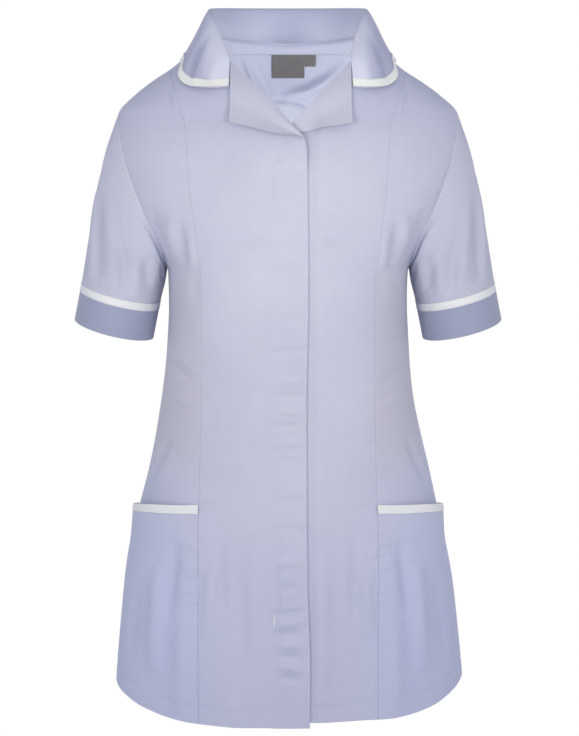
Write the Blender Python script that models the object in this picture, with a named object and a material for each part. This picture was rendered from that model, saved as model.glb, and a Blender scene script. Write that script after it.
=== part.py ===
"""Short-sleeved work tunic, filled out as it is worn, with no wearer.

Metres, +Z up. The front faces -Y and the wearer's right is at -X. The origin lies between
the shoulders at the height of the nape, where the wearer's neck and shoulders carry it.

The body is one hollow form, given by level sections. An angle on it is 0 at the centre
front, 90 degrees at the side and 180 at the centre back. Every panel is a wall between two
grids of points on that form, and what lies on a panel is made from its points, moved out.
"""
import math

import bmesh
import bpy
import numpy as np

for old in list(bpy.data.objects):
    bpy.data.objects.remove(old, do_unlink=True)

CLOTH = 0.0012           # wall of one cloth layer
DOUBLE_CLOTH = 0.0018    # wall of the faced collar, lapels and cuffs
BINDING = 0.0010         # wall of the white trim
GAP = 0.0003             # between two pieces at a seam
TRIM_WIDTH = 0.010

SHOULDER_TOP = 0.007     # height of the shoulder seam at the neck
GORGE = -0.0215          # height at which collar and lapel meet
PRINCESS_TOP = -0.028    # height at which the princess seam leaves the shoulder seam
SHOULDER_POINT = -0.077  # height of the shoulder seam's outer end
UNDERARM = -0.2535
WAIST = -0.420           # level below which the pocket mouth and the hem set the drape
MOUTH_LEVEL = -0.525
HEM_LEVEL = -0.770
UNDERLAP_RISE = 0.0050   # the under front ends this much higher at the centre

ARMHOLE_FRONT = 0.056    # reach of the armhole in front of the shoulder seam
ARMHOLE_BACK = 0.052
ARMHOLE_DROOP = 0.22     # how much fuller the armhole is in its lower half

SLEEVE_END = (0.2025, 0.0, -0.3240)
SLEEVE_LEAN = math.radians(11.3)
SLEEVE_HALF_WIDTH = 0.0470
SLEEVE_HALF_DEPTH = 0.0570
SLEEVE_DROP_FRONT = 0.0050
SLEEVE_DROP_INSIDE = 0.0025
CUFF_HEIGHT = 0.0345
CUFF_TRIM_WIDTH = 0.0090

COLUMNS_BACK = 20
COLUMNS_SIDE = 6

CLOTH_COLOUR = (0.50, 0.53, 0.72)
CUFF_COLOUR = (0.37, 0.40, 0.61)
WHITE = (0.80, 0.80, 0.80)
LABEL_GREY = (0.22, 0.22, 0.22)


class Table:
    """Rows of named columns, read at any key by a curve that never overshoots its rows."""

    def __init__(self, names, *rows):
        data = np.array(sorted(rows))
        self.keys = data[:, 0]
        self.columns = dict(zip(names.split()[1:], data[:, 1:].T))
        self.slopes = {name: self.steady(values) for name, values in self.columns.items()}

    def steady(self, values):
        steps = np.diff(self.keys)
        rates = np.diff(values) / steps
        slopes = np.zeros(len(values))
        slopes[0], slopes[-1] = rates[0], rates[-1]
        for i in range(1, len(values) - 1):
            if rates[i - 1] * rates[i] > 0:
                before = 2 * steps[i] + steps[i - 1]
                after = steps[i] + 2 * steps[i - 1]
                slopes[i] = (before + after) / (before / rates[i - 1] + after / rates[i])
        return slopes

    def at(self, name, key):
        key = min(max(key, self.keys[0]), self.keys[-1])
        i = min(max(int(np.searchsorted(self.keys, key)) - 1, 0), len(self.keys) - 2)
        step = self.keys[i + 1] - self.keys[i]
        t = (key - self.keys[i]) / step
        values, slopes = self.columns[name], self.slopes[name]
        start = (2 * t**3 - 3 * t**2 + 1) * values[i] + (t**3 - 2 * t**2 + t) * step * slopes[i]
        end = (3 * t**2 - 2 * t**3) * values[i + 1] + (t**3 - t**2) * step * slopes[i + 1]
        return float(start + end)


BODY = Table(
    "height half_width front back squareness",
    (0.020, 0.0550, 0.035, 0.0620, 2.00),
    (0.007, 0.0790, 0.045, 0.0660, 2.00),
    (-0.003, 0.0990, 0.052, 0.0690, 2.00),
    (-0.015, 0.1190, 0.058, 0.0730, 2.00),
    (-0.028, 0.1355, 0.065, 0.0780, 2.00),
    (-0.042, 0.1570, 0.071, 0.0820, 2.00),
    (-0.056, 0.1755, 0.077, 0.0860, 2.05),
    (-0.077, 0.1960, 0.084, 0.0925, 2.10),
    (-0.107, 0.2040, 0.096, 0.1000, 2.15),
    (-0.130, 0.2030, 0.1035, 0.1040, 2.20),
    (-0.164, 0.1930, 0.1115, 0.1070, 2.25),
    (-0.190, 0.1800, 0.1160, 0.1070, 2.30),
    (-0.230, 0.1530, 0.1210, 0.1030, 2.35),
    (-0.260, 0.1395, 0.1225, 0.0980, 2.40),
    (-0.300, 0.1383, 0.1200, 0.0900, 2.35),
    (-0.350, 0.1408, 0.1120, 0.0800, 2.30),
    (-0.400, 0.1462, 0.1050, 0.0760, 2.25),
    (-0.450, 0.1552, 0.104, 0.0800, 2.20),
    (-0.492, 0.1647, 0.107, 0.0880, 2.20),
    (-0.550, 0.1785, 0.111, 0.0970, 2.20),
    (-0.620, 0.1918, 0.115, 0.1070, 2.20),
    (-0.700, 0.2000, 0.118, 0.1120, 2.20),
    (-0.790, 0.2070, 0.120, 0.1160, 2.20),
)

# How far the front's inner edge lies from the centre: the roll line of the lapel down to the
# break, then the straight edge, which laps over the centre and so has negative distances.
FRONT_EDGE = Table(
    "height distance",
    (-0.0215, 0.0683), (-0.0413, 0.0483), (-0.0584, 0.0319), (-0.0697, 0.0212),
    (-0.0932, 0.0000), (-0.1087, -0.0150), (-0.125, -0.0205), (-0.160, -0.0217),
    (-0.287, -0.0226), (-0.400, -0.0209), (-0.600, -0.0220), (-0.706, -0.0252),
    (-0.775, -0.0248),
)
ROLL_LINE = Table(
    "distance height",
    (0.0683, -0.0215), (0.0483, -0.0413), (0.0319, -0.0584), (0.0212, -0.0697),
    (0.0000, -0.0932), (-0.0150, -0.1087),
)
LAPEL_HEM = Table(
    "distance height",
    (0.0683, -0.0905), (0.0450, -0.0962), (0.0175, -0.1030), (-0.0150, -0.1097),
)
PRINCESS = Table(
    "height distance",
    (-0.028, 0.1368), (-0.032, 0.1348), (-0.050, 0.1298), (-0.079, 0.1203),
    (-0.094, 0.1150), (-0.123, 0.1122), (-0.164, 0.1097), (-0.199, 0.1052),
    (-0.232, 0.1021), (-0.266, 0.0972), (-0.320, 0.0969), (-0.386, 0.0977),
    (-0.466, 0.0994), (-0.554, 0.1016), (-0.775, 0.1014),
)
# Heights of the pocket mouth's line and of the hem, round the body.
DRAPE = Table(
    "angle mouth hem",
    (0, -0.5200, -0.7707), (25, -0.5200, -0.7703), (48, -0.5203, -0.7677),
    (56, -0.5220, -0.7645), (65, -0.5242, -0.7575), (75, -0.5280, -0.7480),
    (84, -0.5315, -0.7415), (90, -0.5330, -0.7385), (120, -0.5330, -0.7405),
    (180, -0.5330, -0.7470),
)
# Collar: top of the roll, and the outer edge as a place on the body and its lift off it.
COLLAR = Table(
    "neck_angle roll_x roll_y roll_z edge_angle edge_height lift",
    (52.7, 0.0683, -0.0540, -0.0180, 44.5, -0.0526, 0.0028),
    (56.5, 0.0691, -0.0495, -0.0145, 50.0, -0.0545, 0.0028),
    (61.0, 0.0712, -0.0430, -0.0080, 55.5, -0.0553, 0.0028),
    (66.0, 0.0745, -0.0340, 0.0015, 60.0, -0.0532, 0.0028),
    (72.0, 0.0782, -0.0230, 0.0115, 65.0, -0.0475, 0.0028),
    (78.0, 0.0825, -0.0110, 0.0215, 69.5, -0.0400, 0.0030),
    (84.0, 0.0865, -0.0005, 0.0310, 74.0, -0.0315, 0.0030),
    (91.0, 0.0897, 0.0110, 0.0385, 81.0, -0.0225, 0.0030),
    (100.0, 0.0908, 0.0240, 0.0432, 92.0, -0.0170, 0.0032),
    (118.0, 0.0840, 0.0480, 0.0465, 112.0, -0.0175, 0.0060),
    (140.0, 0.0620, 0.0690, 0.0485, 137.0, -0.0185, 0.0110),
    (160.0, 0.0330, 0.0795, 0.0493, 159.0, -0.0185, 0.0165),
    (180.0, 0.0000, 0.0830, 0.0496, 180.0, -0.0180, 0.0185),
)


def smooth(value, start, end):
    """0 at start, 1 at end, easing in between."""
    t = min(max((value - start) / (end - start), 0.0), 1.0)
    return t * t * (3 - 2 * t)


def unit(vector):
    return vector / np.linalg.norm(vector)


# The body's form

def section(height, back):
    return (BODY.at("half_width", height), BODY.at("back" if back else "front", height),
            BODY.at("squareness", height))


def body_point(angle, height):
    half_width, depth, power = section(height, angle > 90)
    across, along = math.sin(math.radians(angle)), math.cos(math.radians(angle))
    reach = (abs(across / half_width) ** power + abs(along / depth) ** power) ** (-1 / power)
    return np.array((reach * across, -reach * along, height))


def angle_at_x(x, height):
    """Angle of the front point at a distance x from the centre."""
    half_width, depth, power = section(height, False)
    share = min(abs(x) / half_width, 1.0)
    y = depth * (1 - share**power) ** (1 / power)
    return math.degrees(math.atan2(x, y))


def angle_at_y(y, height):
    """Angle of the side point at a depth y, negative towards the front."""
    half_width, depth, power = section(height, y > 0)
    x = half_width * (1 - (abs(y) / depth) ** power) ** (1 / power)
    return math.degrees(math.atan2(x, -y))


def fullness(point):
    """1 on the body's form, less inside it and more outside."""
    half_width, depth, power = section(point[2], point[1] > 0)
    return abs(point[0] / half_width) ** power + abs(point[1] / depth) ** power


def slope(point):
    step = 1e-4
    return np.array([fullness(point + shift) - fullness(point - shift)
                     for shift in np.eye(3) * step]) / (2 * step)


def outward(point):
    return unit(slope(point))


def keep_outside(point, clearance):
    """Moves a point out until it lies at least the clearance off the body."""
    rate = slope(point)
    distance = (fullness(point) - 1) / np.linalg.norm(rate)
    return point + unit(rate) * max(clearance - distance, 0.0)


def neck_height(angle):
    """Height of the neck seam round the body."""
    if angle >= 90:
        return SHOULDER_TOP * math.sin(math.radians(angle))
    return SHOULDER_TOP - (SHOULDER_TOP - GORGE) * ((90 - angle) / (90 - GORGE_ANGLE)) ** 2


def neck_angle(height):
    drop = (SHOULDER_TOP - height) / (SHOULDER_TOP - GORGE)
    return 90 - (90 - GORGE_ANGLE) * math.sqrt(drop)


GORGE_ANGLE = angle_at_x(FRONT_EDGE.at("distance", GORGE), GORGE)


def hung(level, angle):
    """Height at which a level hangs at an angle: levels follow the nape, mouth and hem."""
    anchors = [(SHOULDER_TOP, neck_height(angle) if angle > 90 else SHOULDER_TOP),
               (PRINCESS_TOP, PRINCESS_TOP), (WAIST, WAIST),
               (MOUTH_LEVEL, DRAPE.at("mouth", abs(angle))),
               (HEM_LEVEL, DRAPE.at("hem", abs(angle)))]
    levels, heights = zip(*reversed(anchors))
    return float(np.interp(level, levels, heights))


def armhole(turn):
    """Depth and height on the armhole, from its top (0) by the front (90) to the underarm."""
    across, up = math.sin(math.radians(turn)), math.cos(math.radians(turn))
    middle, half = (SHOULDER_POINT + UNDERARM) / 2, (SHOULDER_POINT - UNDERARM) / 2
    reach = ARMHOLE_FRONT if across > 0 else ARMHOLE_BACK
    depth = -math.copysign(reach * abs(across) ** 0.8, across) * (1 - ARMHOLE_DROOP * up)
    return depth, middle + half * up


ARMHOLE_TURNS = [0, 7, 15, 28, 43, 58, 74, 90, 106, 122, 137, 152, 165, 173, 180]
ARMHOLE_LEVELS = [armhole(turn)[1] for turn in ARMHOLE_TURNS]


def between(start, end, count):
    """Levels evenly between two, with the end and without the start."""
    return [start + (end - start) * k / count for k in range(1, count + 1)]


NECK_LEVELS = [neck_height(angle) for angle in (84, 78, 72, 66, 61, 56.5)] + [GORGE]
SHOULDER_LEVELS = [PRINCESS_TOP] + between(PRINCESS_TOP, SHOULDER_POINT, 5)
LOWER_LEVELS = between(UNDERARM, MOUTH_LEVEL, 9) + between(MOUTH_LEVEL, HEM_LEVEL, 6)
LEVELS = NECK_LEVELS + SHOULDER_LEVELS + ARMHOLE_LEVELS[1:] + LOWER_LEVELS


def inner_angle(level):
    """Angle of the front's inner edge: neck seam, roll line, then the lapped edge."""
    if level > GORGE:
        return neck_angle(level)
    return angle_at_x(FRONT_EDGE.at("distance", level), level)


def princess_angle(level):
    angle = 48.0
    for _ in range(5):
        height = hung(level, angle)
        angle = angle_at_x(PRINCESS.at("distance", height), height)
    return min(angle, 89.0)


def side_angle(level, back):
    """Angle at which a panel ends sideways: shoulder seam, armhole or side seam."""
    if not UNDERARM < level < SHOULDER_POINT:
        return 90.0
    turn = math.degrees(math.acos((level - (SHOULDER_POINT + UNDERARM) / 2)
                                  / ((SHOULDER_POINT - UNDERARM) / 2)))
    return angle_at_y(armhole(-turn if back else turn)[0], level)


def seam_step(level):
    """Half a seam's gap as an angle at a level."""
    return math.degrees(GAP / 2 / BODY.at("half_width", level))


# Turning grids of points into cloth

SWAY = 0.0032


def sway(point):
    """The neck opening sits a little towards the wearer's left."""
    high = smooth(point[2], 0.010, -0.030) * (1 - smooth(point[2], -0.095, -0.125))
    near = 1 - smooth(abs(point[0]), 0.075, 0.115)
    front = smooth(point[1], 0.020, -0.030)
    return point + np.array((SWAY * high * near * front, 0, 0))


def mirrored(rows, side):
    flip = np.array((side, 1, 1))
    return [[point * flip for point in row] for row in rows]


def material(name, colour, roughness):
    found = bpy.data.materials.get(name)
    if found:
        return found
    made = bpy.data.materials.new(name)
    made.use_nodes = True
    shader = made.node_tree.nodes["Principled BSDF"]
    shader.inputs["Base Color"].default_value = (*colour, 1)
    shader.inputs["Roughness"].default_value = roughness
    shader.inputs["Metallic"].default_value = 0.0
    return made


def wall(name, finish, outer, inner, ring=False):
    """A closed wall between two grids of points, all split along the same diagonals."""
    rows, columns = len(outer), len(outer[0])
    mesh = bmesh.new()
    skins = [[[mesh.verts.new(sway(point)) for point in row] for row in grid]
             for grid in (outer, inner)]
    last = columns if ring else columns - 1

    def face(*corners):
        mesh.faces.new(corners)

    for k in range(rows - 1):
        for j in range(last):
            following = (j + 1) % columns
            for skin in skins:
                face(skin[k][j], skin[k + 1][j], skin[k + 1][following])
                face(skin[k][j], skin[k + 1][following], skin[k][following])
    rims = [[(k, j) for j in range(columns)] for k in (0, rows - 1)]
    if not ring:
        rims += [[(k, j) for k in range(rows)] for j in (0, columns - 1)]
    for number, rim in enumerate(rims):
        count = len(rim) if ring else len(rim) - 1
        for m in range(count):
            (k, j), (q, p) = rim[m], rim[(m + 1) % len(rim)]
            face(skins[0][k][j], skins[0][q][p], skins[1][q][p])
            face(skins[0][k][j], skins[1][q][p], skins[1][k][j])
    bmesh.ops.recalc_face_normals(mesh, faces=mesh.faces)
    data = bpy.data.meshes.new(name)
    mesh.to_mesh(data)
    mesh.free()
    data.materials.append(finish)
    data.shade_smooth()
    data.set_sharp_from_angle(angle=math.radians(40))
    made = bpy.data.objects.new(name, data)
    bpy.context.collection.objects.link(made)
    return made


def layer(name, finish, rows, lifts, thickness, side=1):
    """A wall on the body's form: its inner face lies at the lift, its outer face beyond."""
    outer, inner = [], []
    for row, heights in zip(rows, lifts):
        normals = [outward(point) for point in row]
        inner.append([p + n * h for p, n, h in zip(row, normals, heights)])
        outer.append([p + n * (h + thickness) for p, n, h in zip(row, normals, heights)])
    return wall(name, finish, mirrored(outer, side), mirrored(inner, side))


# Fronts and back

LAP = 0.0265             # the lapped strip reaches this far from the centre
LAP_END = 0.0345         # and the under front is level again here
LAP_DEPTH = 0.0016
BREAK_LIFT = 0.0036      # the upper front stands this much out over the under lapel
BREAK = -0.1087          # height at which the lapel's roll line meets the front edge
STRIP_COLUMNS = (0.002, LAP, LAP_END)  # columns along the strip, by distance from the centre
SIDE_NAMES = {-1: "right", 1: "left"}


def centre_columns(level):
    """Angles across a centre front, with columns that keep to the lapped strip."""
    inner = inner_angle(level)
    outer = (princess_angle(level) if level < PRINCESS_TOP + 1e-6 else 90) - seam_step(level)
    if level < BREAK:
        fixed = [angle_at_x(x, level) for x in STRIP_COLUMNS]
    else:
        first, last = inner_angle(BREAK), princess_angle(BREAK)
        shares = [(angle_at_x(x, BREAK) - first) / (last - first) for x in STRIP_COLUMNS]
        fixed = [inner + (outer - inner) * share for share in shares]
    return [inner] + fixed + between(fixed[-1], outer, 3)


def lap_lift(point, side):
    """The upper front bulges over the lapel's end, and the under front lies deeper."""
    over = 1 - smooth(point[0], LAP, LAP_END)
    if side > 0:
        return -LAP_DEPTH * over
    return BREAK_LIFT * (1 - smooth(point[0], 0.020, 0.050)) * smooth(point[2], -0.150, -0.122)


def front_centre(side):
    rows, lifts = [], []
    for level in LEVELS:
        row = []
        for angle in centre_columns(level):
            height = hung(level, angle)
            if side > 0:
                share = smooth(level, MOUTH_LEVEL, HEM_LEVEL) * (1 - smooth(angle, 25, 75))
                height += UNDERLAP_RISE * share
            row.append(body_point(angle, height))
        rows.append(row)
        lifts.append([lap_lift(point, side) - CLOTH for point in row])
    return layer("front_centre_" + SIDE_NAMES[side], cloth_finish, rows, lifts, CLOTH, side)


def side_rows(levels):
    rows = []
    for level in levels:
        start = princess_angle(level) + seam_step(level)
        end = side_angle(level, False)
        if end == 90.0:
            end -= seam_step(level)
        angles = [start + (end - start) * k / COLUMNS_SIDE for k in range(COLUMNS_SIDE + 1)]
        rows.append([body_point(angle, hung(level, angle)) for angle in angles])
    return rows


def front_side(side):
    rows = side_rows([level for level in LEVELS if level <= PRINCESS_TOP])
    lifts = [[-CLOTH] * len(row) for row in rows]
    return layer("front_side_" + SIDE_NAMES[side], cloth_finish, rows, lifts, CLOTH, side)


def back_angles(level):
    start = side_angle(level, True)
    if start == 90.0:
        start += seam_step(level)
    half = COLUMNS_BACK // 2
    return [start + (180 - start) * k / half for k in range(half + 1)]


def back_rows(levels):
    rows = []
    for level in levels:
        half = [body_point(angle, hung(level, angle)) for angle in back_angles(level)]
        other = [point * np.array((-1, 1, 1)) for point in reversed(half[:-1])]
        rows.append(half + other)
    return rows


def back():
    rows = back_rows([SHOULDER_TOP] + LEVELS[1:])
    lifts = [[-CLOTH] * len(row) for row in rows]
    return layer("back", cloth_finish, rows, lifts, CLOTH)


# Sleeves

SLEEVE_AXIS = np.array((math.sin(SLEEVE_LEAN), 0, -math.cos(SLEEVE_LEAN)))
SLEEVE_OUT = np.array((math.cos(SLEEVE_LEAN), 0, math.sin(SLEEVE_LEAN)))
# Round the armhole: how far the sleeve turns away from the body's form, and how far it
# stands off on its way to the cuff.
FOLD = Table(
    "turn fold push",
    (0, 0, 0.138), (60, 15, 0.114), (90, 38, 0.090), (120, 70, 0.072),
    (150, 118, 0.054), (180, 166, 0.036),
)
SLEEVE_ROWS = (0.06, 0.16, 0.30, 0.47, 0.65, 0.83, 1.0)
DEPART_PULL = 0.45       # how strongly the sleeve follows its axis at the armhole
ARRIVE_PULL = 0.9        # and at its end
TRIM_PROUD = 0.0003      # the cuff's trim stands this far over its neighbours


def armhole_turns():
    return ARMHOLE_TURNS + [-turn for turn in reversed(ARMHOLE_TURNS[1:-1])]


def armhole_point(turn):
    depth, height = armhole(turn)
    return body_point(angle_at_y(depth, height) if depth else 90.0, height)


def sleeve_ring(turn, above):
    """Point round the sleeve's lower tube, at a distance above its end."""
    across, along = math.sin(math.radians(turn)), math.cos(math.radians(turn))
    drop = SLEEVE_DROP_FRONT * across + SLEEVE_DROP_INSIDE * (1 - along)
    return (np.array(SLEEVE_END) + SLEEVE_OUT * SLEEVE_HALF_WIDTH * along
            + np.array((0, -SLEEVE_HALF_DEPTH * across, 0)) + SLEEVE_AXIS * (drop - above))


def seam_frame(turn):
    """At the armhole: outward normal, and the direction into the armhole on the form."""
    here = armhole_point(turn)
    along = armhole_point(turn + 2) - armhole_point(turn - 2)
    normal = outward(here)
    inward = unit(np.cross(normal, along))
    centre = np.array((0.19, 0, (SHOULDER_POINT + UNDERARM) / 2))
    return here, normal, inward * math.copysign(1, inward @ (centre - here))


def sleeve(side):
    top = CUFF_HEIGHT + CUFF_TRIM_WIDTH + GAP
    starts, paths = [], []
    for turn in armhole_turns():
        here, normal, inward = seam_frame(turn)
        fold = math.radians(FOLD.at("fold", abs(turn)))
        leave = inward * math.cos(fold) + normal * math.sin(fold)
        thick = inward * math.sin(fold) - normal * math.cos(fold)
        aside = inward * math.cos(fold / 2) + normal * math.sin(fold / 2)
        first = here + aside * GAP
        starts.append((first, first + thick * CLOTH))
        end = sleeve_ring(turn, top)
        length = np.linalg.norm(end - first)
        depart = leave * FOLD.at("push", abs(turn)) + SLEEVE_AXIS * length * DEPART_PULL
        arrive = SLEEVE_AXIS * length * ARRIVE_PULL
        path = []
        for t in SLEEVE_ROWS:
            path.append((2 * t**3 - 3 * t**2 + 1) * first + (t**3 - 2 * t**2 + t) * depart
                        + (3 * t**2 - 2 * t**3) * end + (t**3 - t**2) * arrive)
        paths.append(path)
    rows = [list(row) for row in zip(*paths)]
    inner = [[first[1] for first in starts]] + inset(rows, CLOTH)
    outer = [[first[0] for first in starts]] + rows
    name = "sleeve_" + SIDE_NAMES[side]
    return wall(name, cloth_finish, mirrored(outer, side), mirrored(inner, side), ring=True)


def ring_normals(rows):
    """Outward normals of rings of points, taken from their neighbours."""
    normals = []
    for k, row in enumerate(rows):
        upper, lower = rows[max(k - 1, 0)], rows[min(k + 1, len(rows) - 1)]
        middle = sum(row) / len(row)
        line = []
        for j, point in enumerate(row):
            around = row[(j + 1) % len(row)] - row[j - 1]
            normal = unit(np.cross(around, lower[j] - upper[j]))
            line.append(normal * math.copysign(1, normal @ (point - middle)))
        normals.append(line)
    return normals


def inset(rows, distance):
    return [[point - normal * distance for point, normal in zip(row, line)]
            for row, line in zip(rows, ring_normals(rows))]


def cuff_part(name, finish, distances, lift, thickness, side):
    """A band round the sleeve's end between two distances above that end."""
    rows = [[sleeve_ring(turn, distance) for turn in armhole_turns()] for distance in distances]
    outer, inner = inset(rows, -lift - thickness), inset(rows, -lift)
    return wall(name + "_" + SIDE_NAMES[side], finish, mirrored(outer, side),
                mirrored(inner, side), ring=True)


def cuff(side):
    top = CUFF_HEIGHT - GAP
    return cuff_part("cuff", cuff_finish, (top, top * 0.66, top * 0.33, 0.0),
                     -DOUBLE_CLOTH, DOUBLE_CLOTH, side)


def cuff_trim(side):
    """White band set in between the sleeve and the cuff, a little proud of both."""
    return cuff_part("cuff_trim", trim_finish, (CUFF_HEIGHT + CUFF_TRIM_WIDTH, CUFF_HEIGHT),
                     TRIM_PROUD - DOUBLE_CLOTH, DOUBLE_CLOTH, side)


# Pockets

POCKET_CLEAR = 0.0006    # between the pocket and its panel along the seams
POCKET_GAPE = 0.0080
POCKET_FALL = 0.050      # the gape has closed this far below the mouth
POCKET_SKEW = 1.7        # moves the widest gape towards the side seam
POCKET_BELLY = 0.0015


def pocket_lift(point, share):
    """Clearance of the pocket from its panel, widest at the mouth near the side."""
    below = DRAPE.at("mouth", angle_at_x(point[0], point[2])) - point[2]
    gape = math.sin(math.pi * share**POCKET_SKEW) * (1 - smooth(below, 0, POCKET_FALL))
    return POCKET_CLEAR + POCKET_GAPE * gape + POCKET_BELLY * math.sin(math.pi * share)


def pocket_grid(levels):
    rows = side_rows(levels)
    shares = [k / COLUMNS_SIDE for k in range(COLUMNS_SIDE + 1)]
    return rows, [[pocket_lift(point, share) for point, share in zip(row, shares)]
                  for row in rows]


def pocket(side):
    mouth = [MOUTH_LEVEL, MOUTH_LEVEL - TRIM_WIDTH]
    rows, lifts = pocket_grid(mouth + [level for level in LEVELS if level < mouth[-1]])
    return layer("pocket_" + SIDE_NAMES[side], cloth_finish, rows, lifts, CLOTH, side)


def pocket_trim(side):
    rows, lifts = pocket_grid([MOUTH_LEVEL, MOUTH_LEVEL - TRIM_WIDTH])
    lifts = [[lift + CLOTH + GAP for lift in row] for row in lifts]
    return layer("pocket_trim_" + SIDE_NAMES[side], trim_finish, rows, lifts, BINDING, side)


# Collar and lapels

STAND_STEPS = (0.0, 0.4, 0.72, 0.9, 1.0)
FALL_STEPS = (0.12, 0.32, 0.60)        # down towards the trim, whose own width follows
COLLAR_ROUND = 0.0035    # half the width of the roll's rounded top
COLLAR_CLEAR = 0.0012    # between the turned-down part and the shoulders
CURVE_PULL = 0.55        # how far the collar's curves reach towards the roll


def bezier(points, t):
    a, b, c, d = points
    return a * (1 - t)**3 + b * 3 * t * (1 - t)**2 + c * 3 * t * t * (1 - t) + d * t**3


def collar_profile(angle):
    """Middle line of the collar's wall from the neck seam over the roll to the outer edge."""
    seam = body_point(angle, neck_height(angle))
    lower = body_point(angle, neck_height(angle) - 0.002)
    seam = seam + unit(unit(seam - lower) + outward(seam)) * (GAP + DOUBLE_CLOTH / 2)
    roll = np.array([COLLAR.at(name, angle) for name in ("roll_x", "roll_y", "roll_z")])
    roll = roll - np.array((0, 0, DOUBLE_CLOTH / 2))
    edge = body_point(COLLAR.at("edge_angle", angle), COLLAR.at("edge_height", angle))
    edge = edge + outward(edge) * COLLAR.at("lift", angle)
    across = unit((edge - seam) * np.array((1, 1, 0)))
    turn = across * min(COLLAR_ROUND, 0.5 * np.linalg.norm(roll - seam))
    stand = (seam, seam + (roll - seam) * CURVE_PULL, roll - turn, roll)
    fall = (roll, roll + turn, edge + (roll - edge) * CURVE_PULL, edge)
    line = [bezier(stand, t) for t in STAND_STEPS]
    line += [bezier(fall, t) for t in FALL_STEPS]
    clearance = DOUBLE_CLOTH / 2 + COLLAR_CLEAR
    line = line[:4] + [keep_outside(point, clearance) for point in line[4:] + [edge]]
    trim = line[-1] + unit(line[-2] - line[-1]) * TRIM_WIDTH
    return line[:-1] + [keep_outside(trim, clearance), line[-1]]


def neck_angles():
    """Angles of the collar's stations, which are those of the panels' own neck points."""
    front = [GORGE_ANGLE] + [neck_angle(level) for level in reversed(NECK_LEVELS[:-1])]
    return front + back_angles(SHOULDER_TOP)


def collar_grid():
    half = [collar_profile(angle) for angle in neck_angles()]
    other = [[point * np.array((-1, 1, 1)) for point in line] for line in reversed(half[:-1])]
    return half + other


def grid_normals(rows):
    """Normals of an open grid, from the neighbours along both ways."""
    normals = []
    for k, row in enumerate(rows):
        before, after = rows[max(k - 1, 0)], rows[min(k + 1, len(rows) - 1)]
        line = []
        for j in range(len(row)):
            along = row[min(j + 1, len(row) - 1)] - row[max(j - 1, 0)]
            line.append(unit(np.cross(along, after[j] - before[j])))
        normals.append(line)
    return normals


def shifted(rows, normals, distance):
    return [[point + normal * distance for point, normal in zip(row, line)]
            for row, line in zip(rows, normals)]


def collar():
    rows = collar_grid()
    normals = grid_normals(rows)
    half = DOUBLE_CLOTH / 2
    return wall("collar", cloth_finish, shifted(rows, normals, half),
                shifted(rows, normals, -half))


def collar_trim():
    """White binding on the collar's outer edge, on the face that shows."""
    rows, outer, inner = collar_grid(), [], []
    low = DOUBLE_CLOTH / 2 + GAP
    for row, line in zip(rows, grid_normals(rows)):
        facing = math.copysign(1, line[-1] @ outward(row[-1]))
        ends = [(row[k], line[k] * facing) for k in (-2, -1)]
        inner.append([point + way * low for point, way in ends])
        outer.append([point + way * (low + BINDING) for point, way in ends])
    return wall("collar_trim", trim_finish, outer, inner)


LAPEL_REACH = 0.0668     # the lapels' outer edges lie this far from the centre
LAPEL_STARTS = {-1: -0.0135, 1: -0.0060}
LAPEL_CLEAR = 0.0006     # at the roll line, and twice as much at the free edge
LAPEL_SPRING = 0.0016    # bulge of the roll
LAPEL_COLUMNS = 8
LAPEL_ROWS = (0.0, 0.12, 0.35, 0.65, 1.0)


def lapel(side):
    """The turned-back top of a front, from its roll line to its free edge."""
    rows, lifts = [], []
    start = LAPEL_STARTS[side]
    for share in LAPEL_ROWS:
        row, line = [], []
        for k in range(LAPEL_COLUMNS + 1):
            x = start + (LAPEL_REACH - start) * k / LAPEL_COLUMNS
            top, bottom = ROLL_LINE.at("height", x), LAPEL_HEM.at("height", x)
            height = top + (bottom - top) * share
            point = body_point(angle_at_x(x, height), height)
            row.append(point)
            spring = LAPEL_SPRING * math.sin(math.pi * min(share * 1.6, 1.0))
            if side > 0:
                spring *= smooth(x, 0.018, 0.035)  # flat where the upper front covers it
            line.append(lap_lift(point, side) + LAPEL_CLEAR * (1 + share) + spring)
        rows.append(row)
        lifts.append(line)
    return layer("lapel_" + SIDE_NAMES[side], cloth_finish, rows, lifts, DOUBLE_CLOTH, side)


# Neck tape and labels, inside the back neck

TAPE_ANGLE = 95          # the tape runs between this angle on both sides
TAPE_HALF = 0.0052
TAPE_WALL = 0.0010
TAPE_CLEAR = 0.0007
LABEL_SIZE = (0.0435, 0.0285)
TAB_SIZE = (0.0110, 0.0150)
LABEL_WALL = 0.0010
LABEL_DEPTH = 0.0012     # of the labels' middle inside the back panel's inner face


def inside_back(x, height):
    """A point on the labels' middle, inside the back panel."""
    half_width, reach, power = section(height, True)
    y = reach * (1 - (abs(x) / half_width) ** power) ** (1 / power)
    point = np.array((x, y, height))
    return point - outward(point) * (CLOTH + LABEL_DEPTH)


def corner(first, first_reach, second, second_reach):
    """Offset of a corner that lies at one reach along each of two unit directions."""
    cosine = first @ second
    share = 1 - cosine * cosine
    return (first * (first_reach - cosine * second_reach)
            + second * (second_reach - cosine * first_reach)) / share


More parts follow.
